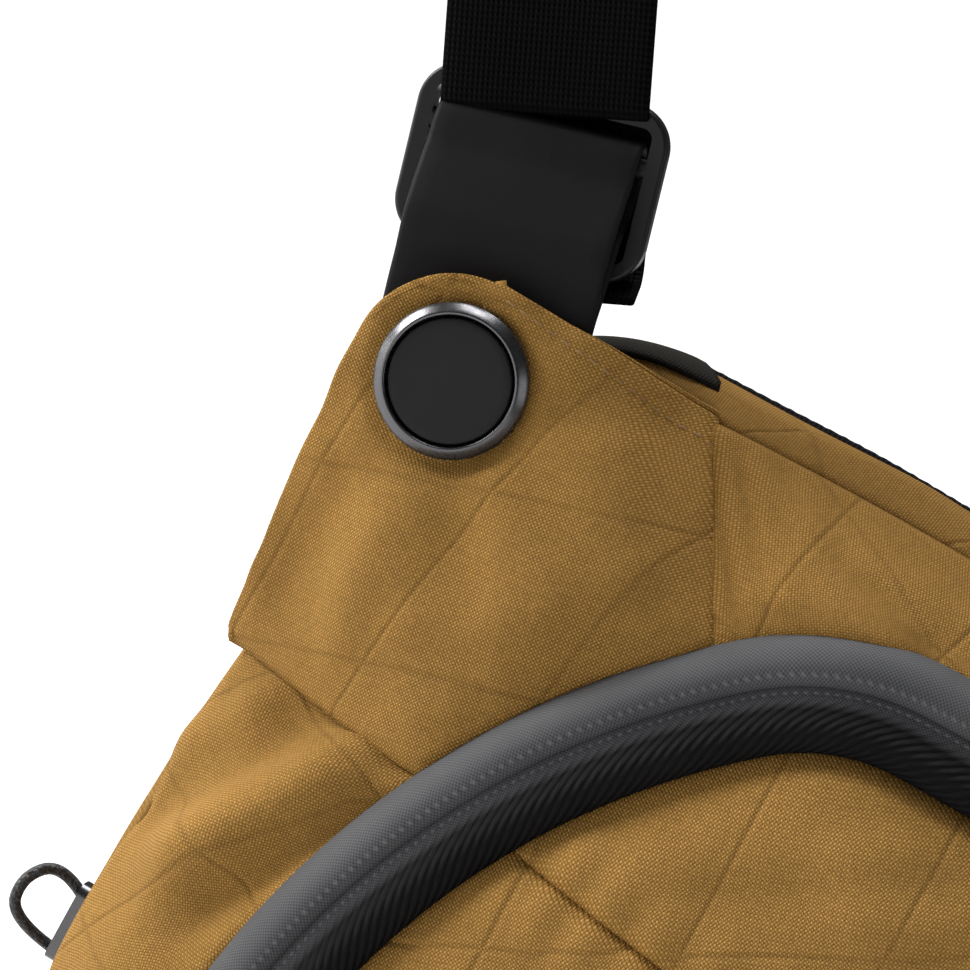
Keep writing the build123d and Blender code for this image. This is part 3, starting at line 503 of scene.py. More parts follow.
def outline(shape, q, grow=0.0, base=None, scale=1.0, about=0.0):
    """The loop at q: 0 under the middle, up the left side to the crown at 5, down the right to 10."""
    q = np.mod(np.asarray(q, float), 10.0)
    side = np.where(q > 5, 1.0, -1.0)
    q = np.where(q > 5, 10 - q, q)
    top_r, corner_r = shape["top_r"] + grow, shape["corner_r"] + grow
    side_r, foot_r = shape["side_r"] + grow, shape["foot_r"] + grow
    crown, half = shape["crown"] + grow, shape["half"] + grow
    low = shape["base"] - grow if base is None else base
    top_z = crown - top_r
    side_x, side_z = half - side_r, shape["waist_z"]
    r1, r2 = top_r - corner_r, side_r - corner_r
    dx, dz = side_x, side_z - top_z
    d = math.hypot(dx, dz)
    along = (r1 * r1 - r2 * r2 + d * d) / (2 * d)
    off = math.sqrt(r1 * r1 - along * along)
    corner = max(((along * dx / d + k * off * dz / d, top_z + along * dz / d - k * off * dx / d)
                  for k in (1, -1)), key=lambda p: p[0] + p[1])
    foot_z = low + foot_r
    foot_x = side_x + math.sqrt((side_r - foot_r) ** 2 - (foot_z - side_z) ** 2)
    turn_a = math.atan2(foot_z - side_z, foot_x - side_x)
    turn_b = math.atan2(corner[1] - side_z, corner[0] - side_x)
    turn_c = math.atan2(corner[1] - top_z, corner[0])
    arcs = ((foot_x, foot_z, foot_r, -math.pi / 2, turn_a), (side_x, side_z, side_r, turn_a, turn_b),
            (corner[0], corner[1], corner_r, turn_b, turn_c), (0.0, top_z, top_r, turn_c, math.pi / 2))
    x, z = foot_x * q, np.full_like(q, low)
    for k, (cx, cz, r, a0, a1) in enumerate(arcs, 1):
        a = a0 + (a1 - a0) * (q - k)
        here = q >= k
        x = np.where(here, cx + r * np.cos(a), x)
        z = np.where(here, cz + r * np.sin(a), z)
    return side * x * scale, about + (z - about) * scale


def level_points(shape, q, y, grow=0.0, **more):
    x, z = outline(shape, q, grow, **more)
    return np.stack(np.broadcast_arrays(x, y, z), axis=-1)


def slope(q, t, grow=0.0):
    """The sloping shell: t 0 at the gusset's seam, 1 at the zip tape."""
    t = np.asarray(t, float)[..., None]
    near = level_points(REAR, q, GUSSET_FRONT_Y, grow)
    far = level_points(ARCH, q, SLOPE_FRONT_Y, TAPE_WIDE + grow)
    return near * (1 - t) + far * t


def find_q(test, t, low=1.0, high=5.0):
    """q where test(points) crosses zero on each row t."""
    lo, hi = np.full_like(t, low), np.full_like(t, high)
    start = np.sign(test(slope(lo, t)))
    for _ in range(40):
        mid = (lo + hi) / 2
        same = np.sign(test(slope(mid, t))) == start
        lo, hi = np.where(same, mid, lo), np.where(same, hi, mid)
    return (lo + hi) / 2


def over_slant(P, inset=0.0):
    """Millimetres past the slanted seam, towards the bag's middle; inset moves the seam outwards."""
    ax, az = SEAM_LOW
    bx, bz = SEAM_HIGH
    length = math.hypot(bx - ax, bz - az)
    return ((P[..., 0] - ax) * (bz - az) - (P[..., 2] - az) * (bx - ax)) / length + inset


def over_level(P):
    return P[..., 2] - SEAM_Z


def spread(a, b, n, ends=0.0):
    """n + 1 places from a to b, closer together at both ends."""
    s = np.linspace(0, 1, n + 1)
    return a + (b - a) * (s - ends * np.sin(2 * math.pi * s) / (2 * math.pi))


def q_level(shape, z, grow=0.0, low=1.0, high=4.9, **more):
    for _ in range(50):
        mid = (low + high) / 2
        low, high = (mid, high) if outline(shape, mid, grow, **more)[1] < z else (low, mid)
    return (low + high) / 2


def q_across(shape, x, low=3.0, high=5.0):
    """q on the left shoulder where the outline reaches x."""
    for _ in range(50):
        mid = (low + high) / 2
        low, high = (mid, high) if outline(shape, mid)[0] < x else (low, mid)
    return (low + high) / 2


def even_q(shape, q0, q1, n, grow=0.0, **more):
    """n + 1 values of q evenly spaced along the outline's length."""
    q = np.linspace(q0, q1, 1200)
    x, z = outline(shape, q, grow, **more)
    run = run_length(np.stack([x, z], axis=1))
    return np.interp(np.linspace(0, run[-1], n + 1), run, q)


def thin_plate(knots):
    """A smooth height over (x, z) that passes close to a few given points (x, z, y)."""
    k = np.array(knots, float)

    def kernel(a, b):
        r2 = ((a[:, None, :] - b[None, :, :]) ** 2).sum(axis=2)
        return 0.5 * r2 * np.log(r2 + 1e-9)

    n = len(k)
    m = np.zeros((n + 3, n + 3))
    m[:n, :n] = kernel(k[:, :2], k[:, :2]) + 4.0 * np.eye(n)
    m[:n, n:] = np.c_[np.ones(n), k[:, :2]]
    m[n:, :n] = m[:n, n:].T
    w = np.linalg.solve(m, np.r_[k[:, 2], np.zeros(3)])

    def height(x, z):
        p = np.stack([x.ravel(), z.ravel()], axis=1)
        return (kernel(p, k[:, :2]) @ w[:n] + np.c_[np.ones(len(p)), p] @ w[n:]).reshape(x.shape)

    return height


def stitches(name, path, normals, material, step=3.2, length=2.3, wide=0.55, lift=0.15):
    """A run of thread stitches along a path, each a small rounded bar."""
    path = np.asarray(path, float)
    run = run_length(path)
    centres = np.arange(step / 2, run[-1] - length / 2, step)
    points, faces = [], []
    ends = ((-0.5, 0.35), (-0.36, 0.9), (0.0, 1.0), (0.36, 0.9), (0.5, 0.35))
    for c in centres:
        at = [np.interp(c, run, path[:, k]) for k in range(3)]
        ahead = [np.interp(c + 0.5, run, path[:, k]) for k in range(3)]
        up = np.array([np.interp(c, run, normals[:, k]) for k in range(3)])
        t = np.array(ahead) - np.array(at)
        t /= np.linalg.norm(t)
        w = np.cross(t, up)
        w /= np.linalg.norm(w)
        first = len(points)
        for e, fat in ends:
            for cx, cy in HEXAGON:
                points.append(np.array(at) + t * e * length + w * cx * wide * fat / 2
                              + up * (lift + cy * wide * fat / 2 - 0.25 * abs(e)))
        faces += bar_faces(first, len(ends))
    return add_mesh(name, points, faces, material)


# ================================================================ make it
make_camera()
make_light()


# ---------------------------------------------------------------- the pull cord
CORD_POINTS = ((-0.1592, 0.0210, 0.0382), (-0.1649, 0.0180, 0.0416), (-0.1692, 0.0138, 0.0362),
               (-0.1672, 0.0146, 0.0284), (-0.1587, 0.0206, 0.0266))
CORD_D = 0.0023


def make_cord():
    data = bpy.data.curves.new("pull_cord", "CURVE")
    data.dimensions = "3D"
    spline = data.splines.new("NURBS")
    spline.points.add(len(CORD_POINTS) - 1)
    for p, q in zip(spline.points, CORD_POINTS):
        p.co = (*q, 1.0)
    spline.order_u = 3
    spline.use_endpoint_u = True
    spline.resolution_u = 16
    data.bevel_depth, data.bevel_resolution = CORD_D / 2, 5
    data.use_fill_caps = True
    data.materials.append(CORD_BRAID)
    cord = new_object("pull_cord", data)
    place(cord, "side_slider", "cord_fabric", "side_pull_cord")


make_cord()


# ---------------------------------------------------------------- stage
def make_stage():
    reach, cells = 30000.0, 7
    ticks = np.linspace(-reach, reach, cells)
    points = [(x, y, 0.0) for y in ticks for x in ticks]
    add_mesh("floor", points, grid_faces(cells, cells), FLOOR)


make_stage()


# ---------------------------------------------------------------- shell panels
TOP_SEAM = 0.20             # how far down the slope the top panel starts


def make_gusset():
    qa, qb = q_level(REAR, POCKET_LOW_Z), q_level(REAR, POCKET_HIGH_Z, high=4.5)
    q = np.concatenate([even_q(REAR, 0, qa, 40)[:-1], even_q(REAR, qa, qb, 50)[:-1],
                        even_q(REAR, qb, 10, 260)])
    rows = np.concatenate([spread(GUSSET_FRONT_Y, POCKET_Y[0], 7)[:-1], spread(*POCKET_Y, 5)[:-1],
                           spread(POCKET_Y[1], GUSSET_REAR_Y, 5)])
    length = np.linalg.norm(slope(q, np.ones_like(q)) - slope(q, np.zeros_like(q)), axis=1)
    lead = TOP_SEAM * np.clip((1.25 - abs(q - 5.0)) / 0.25, 0, 1) * length
    front = []
    for k in range(7):
        s = -lead + (POCKET_Y[0] - GUSSET_FRONT_Y + lead) * k / 7
        level = level_points(REAR, q, GUSSET_FRONT_Y + np.maximum(s, 0.0))
        front.append(np.where((s < 0)[:, None], slope(q, np.maximum(-s, 0.0) / length), level))
    P = np.stack(front + [level_points(REAR, q, y) for y in rows[7:]])
    run = arc_lengths(P)[1]
    mid = run / run[-1:]
    full = 1.7 * np.sin(math.pi * mid) ** 0.7 - 1.4 * bell(run, 1.6)
    wave = field(P, 0.035, 2.0)
    n = grid_normals(P, 1.0)
    out = P - np.array([0.0, 0.0, 90.0])
    n *= np.sign((n * out).sum(axis=2, keepdims=True))
    n[..., 1] = 0.0
    in_slot_q = (q >= qa - 1e-6) & (q <= qb + 1e-6)
    from_slot = np.minimum(abs(rows - POCKET_Y[0]), abs(rows - POCKET_Y[1]))
    near_slot = np.where(in_slot_q[None, :], bell(from_slot, 2.5)[:, None], 0.0)
    P = P + n * ((full + 0.8 * wave * np.sin(math.pi * mid)) * (1 - near_slot))[..., None]
    P[..., 2] = np.maximum(P[..., 2], 0.0)
    first, last = 7, 12

    def skip(i, j):
        return first <= i < last and q[j] >= qa - 1e-6 and q[j + 1] <= qb + 1e-6

    gusset = panel("rear_gusset_cloth", P, TAN, side=-1.0, thick=1.4, skip=skip)
    place(gusset, "bag", "tan_fabric", "rear_gusset")


def soft_panel(name, q0, q1, cols, rows, seams, puff=2.2, reach=16.0, turn=0.0, wrinkle=0.6, seed=1.0,
               extra=None, first=0.0):
    t = spread(first, 1.0, rows, 0.5)
    a, b = q0(t), q1(t)
    s = spread(0.0, 1.0, cols, 0.4)
    q = a[:, None] * (1 - s) + b[:, None] * s
    P = slope(q, np.broadcast_to(t[:, None], q.shape))
    P, near = tuck(P, -1.0, seams, puff=puff, reach=reach)
    n = grid_normals(P, -1.0)
    rough = field(P, 0.045, seed, 3) * wrinkle * (1 - bell(near, 6.0))
    P = P + n * rough[..., None]
    if extra is not None:
        P = P + n * extra(P, near)[..., None]
    P[..., 2] = np.maximum(P[..., 2], 1.4)
    return panel(name, P, TAN, side=-1.0, thick=1.3, turn=turn)


def pucker(P, near, origin, pitch, size, reach=16.0, turn=0.0):
    """Short gathers that run square to a seam and die out away from it."""
    d = P - np.array([origin[0], P[..., 1].mean(), origin[1]])
    along = d[..., 0] * math.cos(turn) + d[..., 2] * math.sin(turn)
    wave = np.sin(2 * math.pi * along / pitch + 1.7 * np.sin(along / 9.0))
    return size * wave * bell(near - 3.0, reach) * (1 - bell(near, 3.0))


def crease(P, a, b, width, size):
    """A soft ridge, or a valley where size is negative, along the line from a to b in (x, z)."""
    a, b = np.array(a), np.array(b)
    d = b - a
    length = np.hypot(*d)
    rel = np.stack([P[..., 0], P[..., 2]], axis=-1) - a
    along = (rel @ d) / length
    across = (rel[..., 0] * d[1] - rel[..., 1] * d[0]) / length
    fade = np.clip(along / (0.25 * length), 0, 1) * np.clip((length - along) / (0.25 * length), 0, 1)
    return size * bell(across, width) * fade * fade * (3 - 2 * fade)


def make_shell():
    slant = lambda t: find_q(over_slant, t, 2.5, 5.0)
    level = lambda t: find_q(over_level, t, 1.2, 4.0)
    foot = lambda t: 1.55 + 0.0 * t

    under = lambda t: find_q(lambda P: over_slant(P, 2.2), t, 2.5, 5.0)

    def top_extra(P, near):
        left = pucker(P, near, SEAM_LOW, 7.0, 0.45, 10.0, 0.9) * bell(P[..., 0] + 92.0, 16.0)
        right = pucker(P, near, (84.0, 151.0), 8.0, 0.4, 10.0, 2.2) * bell(P[..., 0] - 92.0, 16.0)
        folds = crease(P, (-86, 160), (-50, 172), 4.5, 1.6) + crease(P, (-84, 176), (-45, 168), 3.0, -1.3)
        return left + right + folds

    top = soft_panel("top_panel_cloth", under, lambda t: 10 - under(t), 150, 26, "lrbt", puff=2.6, turn=0.35,
                     seed=3.0, extra=top_extra, first=TOP_SEAM)
    place(top, "bag", "tan_fabric", "top_panel")

    def side_extra(P, near):
        folds = crease(P, (-114, 104), (-140, 44), 5.0, -3.0) + crease(P, (-119, 108), (-149, 52), 5.0, 4.0)
        folds += crease(P, (-131, 106), (-160, 50), 4.0, -1.8) + crease(P, (-124, 70), (-119, 20), 4.0, -2.6)
        return folds + crease(P, (-142, 104), (-158, 70), 3.0, 1.2)

    side = soft_panel("left_side_cloth", foot, level, 64, 30, "rbt", puff=4.2, reach=14.0, turn=0.30,
                      wrinkle=0.9, seed=5.0, extra=side_extra)
    place_both(side, "side_cloth", "bag", "tan_fabric", "side_panel")

    corner = soft_panel("left_corner_cloth", level, slant, 60, 16, "lrbt", puff=0.0, wrinkle=0.2, seed=6.0,
                        extra=lambda P, near: -2.6 + 0.0 * near)
    # painted shade: the corner panel inside the pocket is made near-black, dark lining plus the pocket's
    # shadow
    corner.data.materials[0] = LINING_AND_PAINTED_SHADE
    place_both(corner, "corner_cloth", "bag", "lining_fabric", "corner_panel")

    bottom = soft_panel("bottom_cloth", lambda t: 8.45 + 0 * t, lambda t: 11.55 + 0 * t, 90, 20, "bt",
                        puff=0.0, wrinkle=0.15, seed=8.0)
    place(bottom, "bag", "tan_fabric", "bottom_panel")


def make_pocket_painted_shade():
    """Painted shade: a near-black sheet laid just outside the gusset in the opening behind the wing's hem,
    standing in for the shadow in the pocket's mouth.
    """
    rows = []
    for y, grow in ((7.0, 0.2), (8.2, 1.9), (14.0, 2.6), (21.0, 2.7), (27.0, 2.3), (30.5, 1.0)):
        far = q_across(REAR, SEAM_HIGH[0] - 3.5 - 0.42 * (y - 7.0))
        rows.append(level_points(REAR, even_q(REAR, q_level(REAR, 150.0), far, 60), y, grow))
    P = np.stack(rows)
    P[..., 1] += field(P, 0.05, 31.0) * 0.8
    shade_sheet = panel("left_pocket_painted_shade", P, LINING_AND_PAINTED_SHADE, side=-1.0, thick=0.5)
    place_both(shade_sheet, "pocket_painted_shade", "bag", "lining_fabric")


def make_binding():
    q = even_q(REAR, 0, 10, 900)
    y_mid = (GUSSET_REAR_Y + 2.5)
    profile = [(-3.2, -2.6), (-1.2, -3.2), (0.3, -2.9), (1.0, -1.6), (1.15, 0.0), (1.0, 1.8), (0.2, 3.0),
               (-1.4, 3.3), (-3.4, 2.9)]
    fine = [profile[0]]
    for a, b in zip(profile, profile[1:]):
        fine += [((a[0] + b[0]) / 2, (a[1] + b[1]) / 2), b]
    run = run_length(level_points(REAR, q, 0.0))
    rib = 0.10 * np.sin(2 * math.pi * run / 1.6)
    slack = 0.35 * np.sin(run / 9.0) * np.sin(run / 23.0 + 1.0)
    rows = []
    for grow, dy in fine:
        P = level_points(REAR, q, y_mid + dy, grow)
        n = np.stack([P[:, 0], np.zeros(len(q)), P[:, 2] - 90.0], axis=1)
        n /= np.linalg.norm(n, axis=1, keepdims=True)
        rows.append(P + n * (rib + slack * 0.6)[:, None] + np.array([0, 1, 0]) * (slack * 0.5)[:, None])
    P = np.stack(rows)
    P[..., 2] = np.maximum(P[..., 2], 0.02)
    binding = panel("edge_binding_tape", P, BINDING, side=-1.0, thick=0.6)
    place(binding, "bag", "binding_fabric", "edge_binding")


def disc_grid(y_of, shape, grow, rings, cols, centre_z, **more):
    """Rings shrinking from an outline to a point; y_of(share, x, z) gives the depth."""
    q = even_q(shape, 0, 10, cols, grow, **more)
    x0, z0 = outline(shape, q, grow, **more)
    share = np.linspace(1.0, 0.0, rings + 1)[:, None]
    x, z = x0[None, :] * share, centre_z + (z0[None, :] - centre_z) * share
    return np.stack([x, y_of(share + 0 * x, x, z), z], axis=-1)


def make_back():
    """The padded back: a cushion with two sewn channels upright and one across."""
    rim_y = BACK_FACE_Y - 5.5

    def face(share, x, z):
        rounded = (1 - np.clip((share - 0.80) / 0.20, 0, 1) ** 3)
        y = rim_y + 5.5 * rounded
        for line in (-52.0, 52.0):
            y -= 2.0 * bell(x - line - 6.0 * np.sin(z / 60.0), 3.2) * (share < 0.97)
        y -= 2.0 * bell(z - 96.0, 3.2) * (abs(x) < 52) * (share < 0.97)
        return y - 0.35 * bell(share - 0.90, 0.012) * 3

    P = disc_grid(face, REAR, -3.2, 70, 260, MIDDLE_Z)
    lift = field(P, 0.03, 9.0) * 0.5 - 0.5
    P[..., 1] += lift * (1 - bell(P[..., 1] - rim_y, 1.0))
    P[..., 2] = np.maximum(P[..., 2], 0.3)
    cloth = np.stack([P[..., 0], P[..., 2]], axis=-1)
    back = panel("back_pad", P, BACK_MESH, side=1.0, thick=0, cloth=cloth)
    front = P.copy()
    front[..., 1] = rim_y - 4.0
    lower = panel("back_pad_inner", front[::10], LINING, side=-1.0, thick=0, cloth=cloth[::10])
    bpy.context.view_layer.update()
    solid = back.modifiers.new("pad", "SOLIDIFY")
    solid.thickness, solid.offset = 3.0 * MM, -1.0
    place(back, "bag", "back_mesh", "back_panel")
    place(lower, "bag", "lining_fabric")


# ---------------------------------------------------------------- zip
def band(name, q, profile, material, body, slot_name, nodes, side=-1.0, thick=1.0):
    """A strip that follows the arch; profile is (outward, y, distance from the zip's closed edge)."""
    P = np.stack([level_points(ARCH, q, y, grow) for grow, y, _ in profile])
    run = run_length(level_points(ARCH, q, 0.0))
    cloth = np.stack([np.broadcast_to(run, P.shape[:2]),
                      np.broadcast_to(np.array([v for _, _, v in profile])[:, None], P.shape[:2])], axis=-1)
    return place(panel(name, P, material, side=side, thick=thick, cloth=cloth), body, slot_name, *nodes)


def curve_profile(points, n):
    """Rounds a few profile points with a Catmull-Rom line; adds the running distance."""
    p = np.array(points, float)
    p = np.vstack([2 * p[0] - p[1], p, 2 * p[-1] - p[-2]])
    out = []
    for i in range(1, len(p) - 2):
        for t in np.linspace(0, 1, n, endpoint=False):
            a = 2 * p[i] + (p[i + 1] - p[i - 1]) * t
            a += (2 * p[i - 1] - 5 * p[i] + 4 * p[i + 1] - p[i + 2]) * t ** 2
            a += (3 * p[i] - p[i - 1] - 3 * p[i + 1] + p[i + 2]) * t ** 3
            out.append(a / 2)
    out.append(p[-2])
    out = np.array(out)
    run = run_length(out)
    return [(g, y, r) for (g, y), r in zip(out, run)]


def make_zip():
    qa = q_level(ARCH, HINGE_Z + 0.6)
    q = even_q(ARCH, qa, 10 - qa, 560)
    outer = curve_profile([(0.25, ZIP_SEAM_Y + 1.4), (0.35, ZIP_SEAM_Y - 0.1), (1.9, ZIP_SEAM_Y - 0.9),
                           (3.8, ZIP_SEAM_Y - 0.4), (6.0, ZIP_SEAM_Y + 1.4), (7.6, ZIP_SEAM_Y + 4.2),
                           (7.4, ZIP_SEAM_Y + 5.8)], 5)
    band("main_zip_tape", q, outer, TAPE, "bag", "zip_tape_fabric", ["main_zip_tape_outer"], side=1.0,
         thick=0.8)
    inner = curve_profile([(-0.25, ZIP_SEAM_Y + 1.4), (-0.35, ZIP_SEAM_Y - 0.1), (-2.0, ZIP_SEAM_Y - 1.1),
                           (-4.2, ZIP_SEAM_Y - 2.7), (-6.6, ZIP_SEAM_Y - 4.7), (-9.2, ZIP_SEAM_Y - 4.7),
                           (-11.4, ZIP_SEAM_Y - 2.4), (-12.2, ZIP_SEAM_Y + 0.7), (-10.9, ZIP_SEAM_Y + 1.6),
                           (-5.4, ZIP_SEAM_Y + 1.7)], 5)
    band("main_zip_roll_cloth", q, inner, ROLLED, "flap", "zip_tape_fabric", ["main_zip_roll"], side=-1.0,
         thick=0.0)


def make_coil(name, grow_in, grow_out, body, node):
    """Teeth of the main zip's coil: a flattened, slightly leaning bar for each turn."""
    swing = 0.6
    q_hinge = q_level(ARCH, HINGE_Z + 1.0)
    q = np.linspace(q_hinge, 10 - q_hinge, 4000)
    line = level_points(ARCH, q, COIL_Y, (grow_in + grow_out) / 2)
    run = run_length(line)
    count = int(run[-1] / COIL_PITCH)
    at = np.interp((np.arange(count) + 0.5) * COIL_PITCH, run, q)
    inner, outer = level_points(ARCH, at, COIL_Y, grow_in), level_points(ARCH, at, COIL_Y, grow_out)
    tangent = level_points(ARCH, at + 0.002, COIL_Y, grow_in) - inner
    tangent /= np.linalg.norm(tangent, axis=1, keepdims=True)
    depth = np.array([0.0, 1.0, 0.0])
    points, faces = [], []
    for a, b, t in zip(inner, outer, tangent):
        first = len(points)
        for k, fat in ((0.0, 0.5), (0.12, 1.0), (0.5, 0.85), (0.9, 0.9), (1.0, 0.4)):
            c = a + (b - a) * k + t * swing * (k - 0.5) * COIL_PITCH * 0.4
            points += [c + t * cx * 0.36 * COIL_PITCH * fat + depth * cy * swing * fat for cx, cy in HEXAGON]
        faces += bar_faces(first, 5)
    place(add_mesh(name, points, faces, ZIP_PLASTIC), body, "zip_plastic", node)


# ---------------------------------------------------------------- flap
DOME_MID_Z = (ARCH["crown"] + HINGE_Z) / 2 - 4.0
DOME_EDGE = -12.4
DOME_RISE = ROLL_HIGH[1] + 40.0
DOME_Q = np.linspace(0, 10, 2400)
DOME_X, DOME_Z = outline(ARCH, DOME_Q, DOME_EDGE, base=HINGE_Z + 0.8)
DOME_ANGLE = np.arctan2(DOME_X, DOME_MID_Z - DOME_Z)
DOME_FAR = np.hypot(DOME_X, DOME_Z - DOME_MID_Z)
ORDER = np.argsort(DOME_ANGLE)


def dome_share(x, z):
    """0 at the dome's middle, 1 on its rim."""
    far = np.interp(np.arctan2(x, DOME_MID_Z - z), DOME_ANGLE[ORDER], DOME_FAR[ORDER], period=2 * math.pi)
    return np.clip(np.hypot(x, z - DOME_MID_Z) / far, 0, 1)


def dome_y(x, z, back=0.0):
    rise = (1 - dome_share(x, z) ** 2.6) ** 0.62
    return ROLL_HIGH[1] - DOME_RISE * rise + back


def flap_grid(upper, inset=0.0, back=0.0, cols=150, rows=60):
    q_seam = q_level(ARCH, SEAM_Z, DOME_EDGE - inset, base=HINGE_Z + 0.8 + inset)
    if upper:
        q = even_q(ARCH, q_seam, 10 - q_seam, cols, DOME_EDGE - inset)
    else:
        q = even_q(ARCH, q_seam, -(q_seam), cols, DOME_EDGE - inset, base=HINGE_Z + 0.8 + inset)
    far_x, far_z = outline(ARCH, np.abs(q), DOME_EDGE - inset, base=HINGE_Z + 0.8 + inset)
    far_x = np.where(q < 0, -far_x, far_x)
    s = np.linspace(0, 1, cols + 1)
    near_x = far_x[0] + (far_x[-1] - far_x[0]) * s
    b = spread(0.0, 1.0, rows, 0.35)[:, None]
    x = near_x * (1 - b) + far_x * b
    z = SEAM_Z * (1 - b) + far_z * b
    return np.stack([x, dome_y(x, z, back), z], axis=-1)


def make_flap():
    for upper, name in ((True, "front_panel_upper"), (False, "front_panel_lower")):
        P = flap_grid(upper)
        n = grid_normals(P, 1.0)
        n *= np.where(n[..., 1:2] > 0, -1.0, 1.0)
        from_seam = abs(P[..., 2] - SEAM_Z)
        u = P[..., 0]
        gathers = 0.35 * np.sin(2 * math.pi * u / 9.0 + 2.0 * np.sin(u / 17.0)) * bell(from_seam - 4.0, 7.0)
        soft = field(P, 0.028, 4.0 if upper else 6.5, 3) * 1.3 * (1 - bell(from_seam, 9.0))
        rim = np.clip((1 - dome_share(P[..., 0], P[..., 2])) / 0.10, 0, 1)
        offset = (-2.8 * bell(from_seam, 1.2) + 1.1 * bell(from_seam - 7.0, 6.0) + gathers + soft) * rim
        if upper:
            offset += (crease(P, (-70, 108), (-20, 146), 5.0, -1.1)
                       + crease(P, (-10, 104), (-48, 140), 6.0, 0.8))
        P = P + n * offset[..., None]
        P[..., 1] = np.maximum(P[..., 1], -41.2)
        cloth = np.stack([P[..., 0] * 0.94 - P[..., 2] * 0.34, P[..., 0] * 0.34 + P[..., 2] * 0.94], axis=-1)
        skin = panel(name + "_cloth", P, TAN, side=1.0 if upper else -1.0, thick=1.3, cloth=cloth)
        place(skin, "flap", "tan_fabric", name)
    x = np.linspace(-88, 88, 180)
    z = np.full_like(x, SEAM_Z - 2.6)
    line = np.stack([x, dome_y(x, z) - 0.15, z], axis=1)
    up = np.tile([0.0, -1.0, 0.0], (len(x), 1))
    run = stitches("front_seam_stitches", line, up, THREAD_TAN, step=3.0, length=1.9, wide=0.5)
    place(run, "flap", "tan_fabric")
    for upper in (True, False):
        P = flap_grid(upper, inset=1.0, back=3.0, cols=90, rows=24)
        cloth = np.stack([P[..., 0], P[..., 2]], axis=-1)
        inner = panel("flap_lining_upper" if upper else "flap_lining_lower", P, LINING,
                      side=1.0 if upper else -1.0, thick=0.6, cloth=cloth)
        place(inner, "flap", "lining_fabric", "flap_lining")


# ---------------------------------------------------------------- wing
WING_KNOTS = ((-116.5, 101, -20.4), (-126, 101, -17.5), (-135, 101, -12.8), (-148, 99, -3.5),
              (-161, 97, 5.5), (-107.5, 116, -20.6), (-97, 133.6, -20.6), (-84, 151, -20.4),
              (-92, 161, -13.5), (-99, 171, -6.0), (-107, 181.5, 3.2), (-115, 183.5, -2.0),
              (-124.7, 184.9, -7.5), (-134.8, 184.0, -12.0), (-151, 181, -14.2), (-149, 162, -13.8),
              (-135, 162, -14.4), (-149, 148, -13.8), (-163, 162, -13.4), (-149, 176, -14.4),
              (-167.5, 162, -12.0), (-166, 145, -9.0), (-164.5, 130, -4.0), (-163, 115, 1.0),
              (-110, 141, -21.4), (-121, 125, -20.0), (-126, 150, -17.8), (-112, 165, -14.5),
              (-141, 130, -14.8), (-143, 115, -10.5))


def wing_boundary(rows):
    """Right edge (zip, then slanted seam) and left edge (side, then the round tip) from the cross seam up."""
    past = lambda P: over_slant(P, -0.8)
    t_seam = np.linspace(1.0, 0.185, 24)
    up_slant = slope(find_q(past, t_seam, 2.5, 5.0), t_seam)[:, [0, 2]]
    q0 = q_level(ARCH, SEAM_Z, TAPE_WIDE)
    q1 = find_q(past, np.array([1.0]), 2.5, 5.0)[0]
    along_zip = level_points(ARCH, even_q(ARCH, q0, q1, 24, TAPE_WIDE), 0.0, TAPE_WIDE)[:, [0, 2]]
    right = np.vstack([along_zip, up_slant[1:]])
    tip = DISC_R + 5.0
    angles = np.linspace(math.radians(183), math.radians(97), 22)
    arc = np.stack([DISC_X + tip * np.cos(angles), DISC_Z + tip * np.sin(angles)], axis=1)
    side = np.stack([np.linspace(-161.3, arc[0, 0], 26), np.linspace(96.8, arc[0, 1], 26)], axis=1)
    left = np.vstack([side, arc[1:]])

    def resample(line):
        run = run_length(line)
        s = np.linspace(0, 1, rows + 1) * run[-1]
        return np.stack([np.interp(s, run, line[:, k]) for k in (0, 1)], axis=1)

    return resample(right), resample(left)


